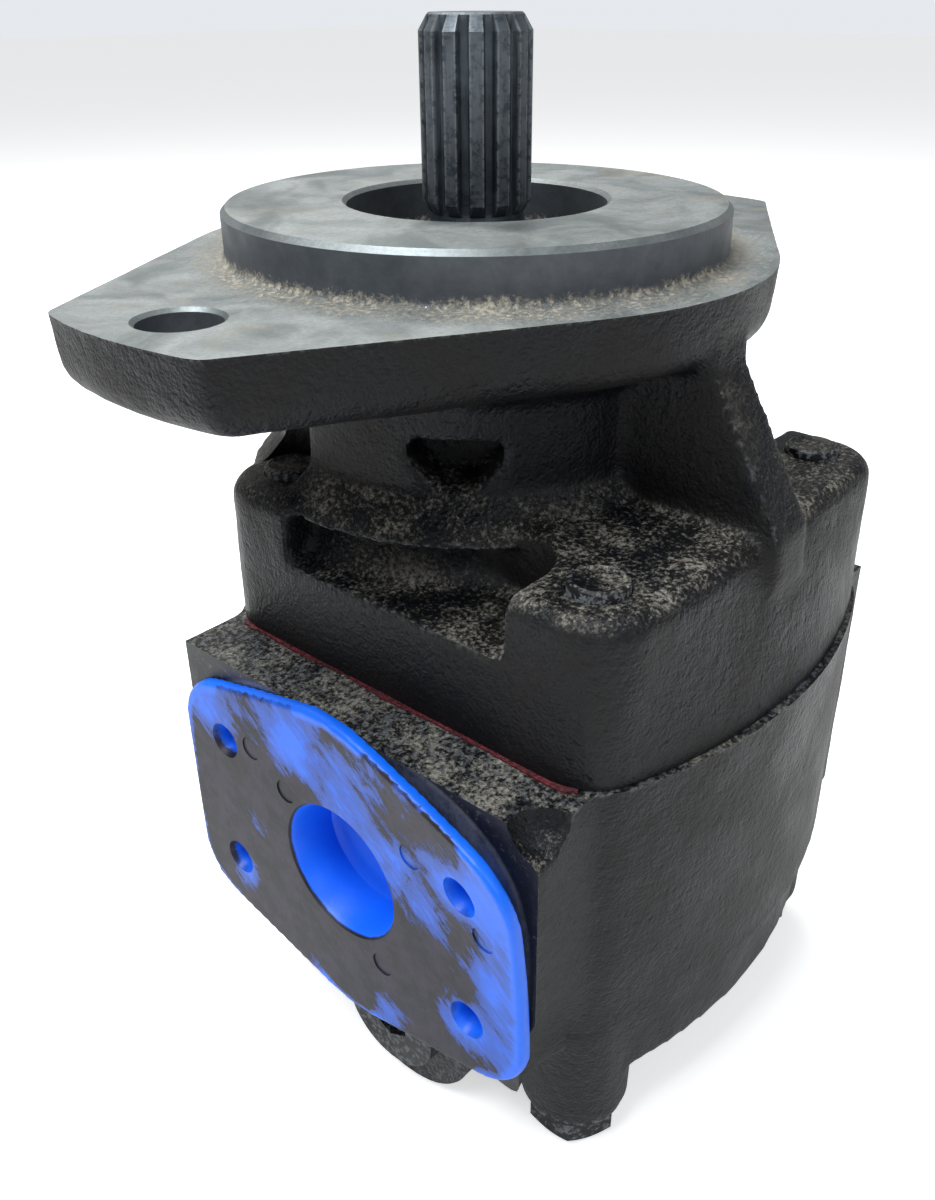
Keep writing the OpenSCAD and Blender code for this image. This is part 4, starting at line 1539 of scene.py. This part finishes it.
class CarriedNodes:
    """CAD nodes that keep their shape and get a finish."""

    finishes: dict[str, tuple[str, ...]] = {
        "screw_paint": ("screw_washers",),
        "ground_steel": ("front_dowels", "rear_dowels"),
        "shaft_steel": ("driven_gear_shaft",),
        "bearing_bronze": (
            "front_drive_bearing",
            "front_driven_bearing",
            "rear_drive_bearing",
            "rear_driven_bearing",
        ),
        "wear_bronze": ("front_wear_plate", "rear_wear_plate"),
        "seal_rubber": (
            "front_plate_seal",
            "rear_plate_seal",
            "front_joint_seal",
            "rear_joint_seal",
            "shaft_seal_lip",
            "plug_o_ring",
        ),
        "seal_steel": ("shaft_seal_case", "seal_retaining_ring"),
        "plug_paint": ("rear_port_plug",),
    }

    def __init__(self, looks: Finishes) -> None:
        """Keeps the finishes."""
        self.looks = looks

    def dress(self) -> None:
        """Gives each node its finish."""
        for finish, nodes in self.finishes.items():
            for node in nodes:
                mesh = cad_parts[node].data
                mesh.materials.clear()
                mesh.materials.append(self.looks[finish])
                LOG.info("%s: keeps its shape, %s", node, finish)


def towards(azimuth: float, elevation: float) -> Vector:
    """The direction at two angles in degrees; azimuth 0 is on the -Y side."""
    a, e = math.radians(azimuth), math.radians(elevation)
    return Vector((math.sin(a) * math.cos(e), -math.cos(a) * math.cos(e), math.sin(e)))


@dataclass
class Studio:
    """Pale floor, soft lights and the camera."""

    looks: Finishes
    eye: tuple[float, float, float] = (-172.2, -149.6, 46.6)
    azimuth: float = -49.129
    elevation: float = 27.47
    roll: float = -0.354
    lens: float = 32.71
    shift: Point = (-0.01145, -0.03614)
    aim: Vector = field(default_factory=lambda: Vector((0, 0, -0.06)))
    light_distance: float = 1.1

    def _floor(self) -> None:
        """The floor under the screw heads."""
        mesh = bpy.data.meshes.new("floor")
        bm = bmesh.new()
        bmesh.ops.create_grid(bm, x_segments=1, y_segments=1, size=6.0)
        bmesh.ops.translate(bm, vec=(0, 0, CAD_BOX[0].z - 0.0005), verts=bm.verts)
        bm.to_mesh(mesh)
        bm.free()
        mesh.materials.append(self.looks["floor"])
        floor = placed("floor", mesh)

    def _light(
        self, name: str, azimuth: float, elevation: float, size: float, power: float, tint: Colour
    ) -> None:
        """One square softbox that faces the pump."""
        lamp = bpy.data.lights.new(name, "AREA")
        lamp.size, lamp.energy, lamp.color = size, power, tint
        holder = placed(name, lamp)
        back = towards(azimuth, elevation)
        holder.location = self.aim + back * self.light_distance
        holder.rotation_euler = (-back).to_track_quat("-Z", "Y").to_euler()

    def _camera(self) -> None:
        """The camera, at its measured place."""
        data = bpy.data.cameras.new("camera")
        data.sensor_width, data.lens = 36.0, self.lens
        data.shift_x, data.shift_y = self.shift
        data.clip_start, data.clip_end = 0.005, 20.0
        camera = placed("camera", data)
        back = towards(self.azimuth, self.elevation)
        right = Vector((0, 0, 1)).cross(back).normalized()
        up = back.cross(right)
        roll = Matrix.Rotation(math.radians(self.roll), 4, "Z")
        turn = Matrix((right, up, back)).transposed().to_4x4() @ roll
        camera.matrix_world = Matrix.Translation(Vector(self.eye) * MM) @ turn
        bpy.context.scene.camera = camera

    def build(self) -> None:
        """Sets the floor, the lights and the camera."""
        self._floor()
        self._camera()
        world = bpy.data.worlds.new("studio")
        world.use_nodes = True
        graph = Graph(world.node_tree)
        seen = graph.add("ShaderNodeLightPath").outputs["Is Camera Ray"]
        back = world.node_tree.nodes["Background"]
        back.inputs["Color"].default_value = (0.93, 0.96, 1.0, 1.0)
        graph.feed(back.inputs["Strength"], graph.blend(seen, 0.3, 0.85))
        bpy.context.scene.world = world
        bpy.context.scene.view_settings.view_transform = "Standard"
        self._light("key", -100, 62, 0.6, 13, (0.93, 0.97, 1.0))
        self._light("front", -10, 40, 0.5, 3, (0.92, 0.96, 1.0))
        self._light("rim", 150, 60, 0.8, 12, (1.0, 0.98, 0.95))


def main() -> None:
    """Builds the pump and the studio."""
    looks = Finishes()
    at = Layout()
    ShaftEndCover(at, looks).build()
    GearHousing(at, looks).build()
    RearCover(at, looks).build()
    JointBeads(at, looks).build()
    ClampScrews(at, looks).build()
    DriveShaft(at, looks).build()
    OutletCap(at, looks).build()
    CarriedNodes(looks).dress()
    Studio(looks).build()


if __name__ == "__main__":
    main()
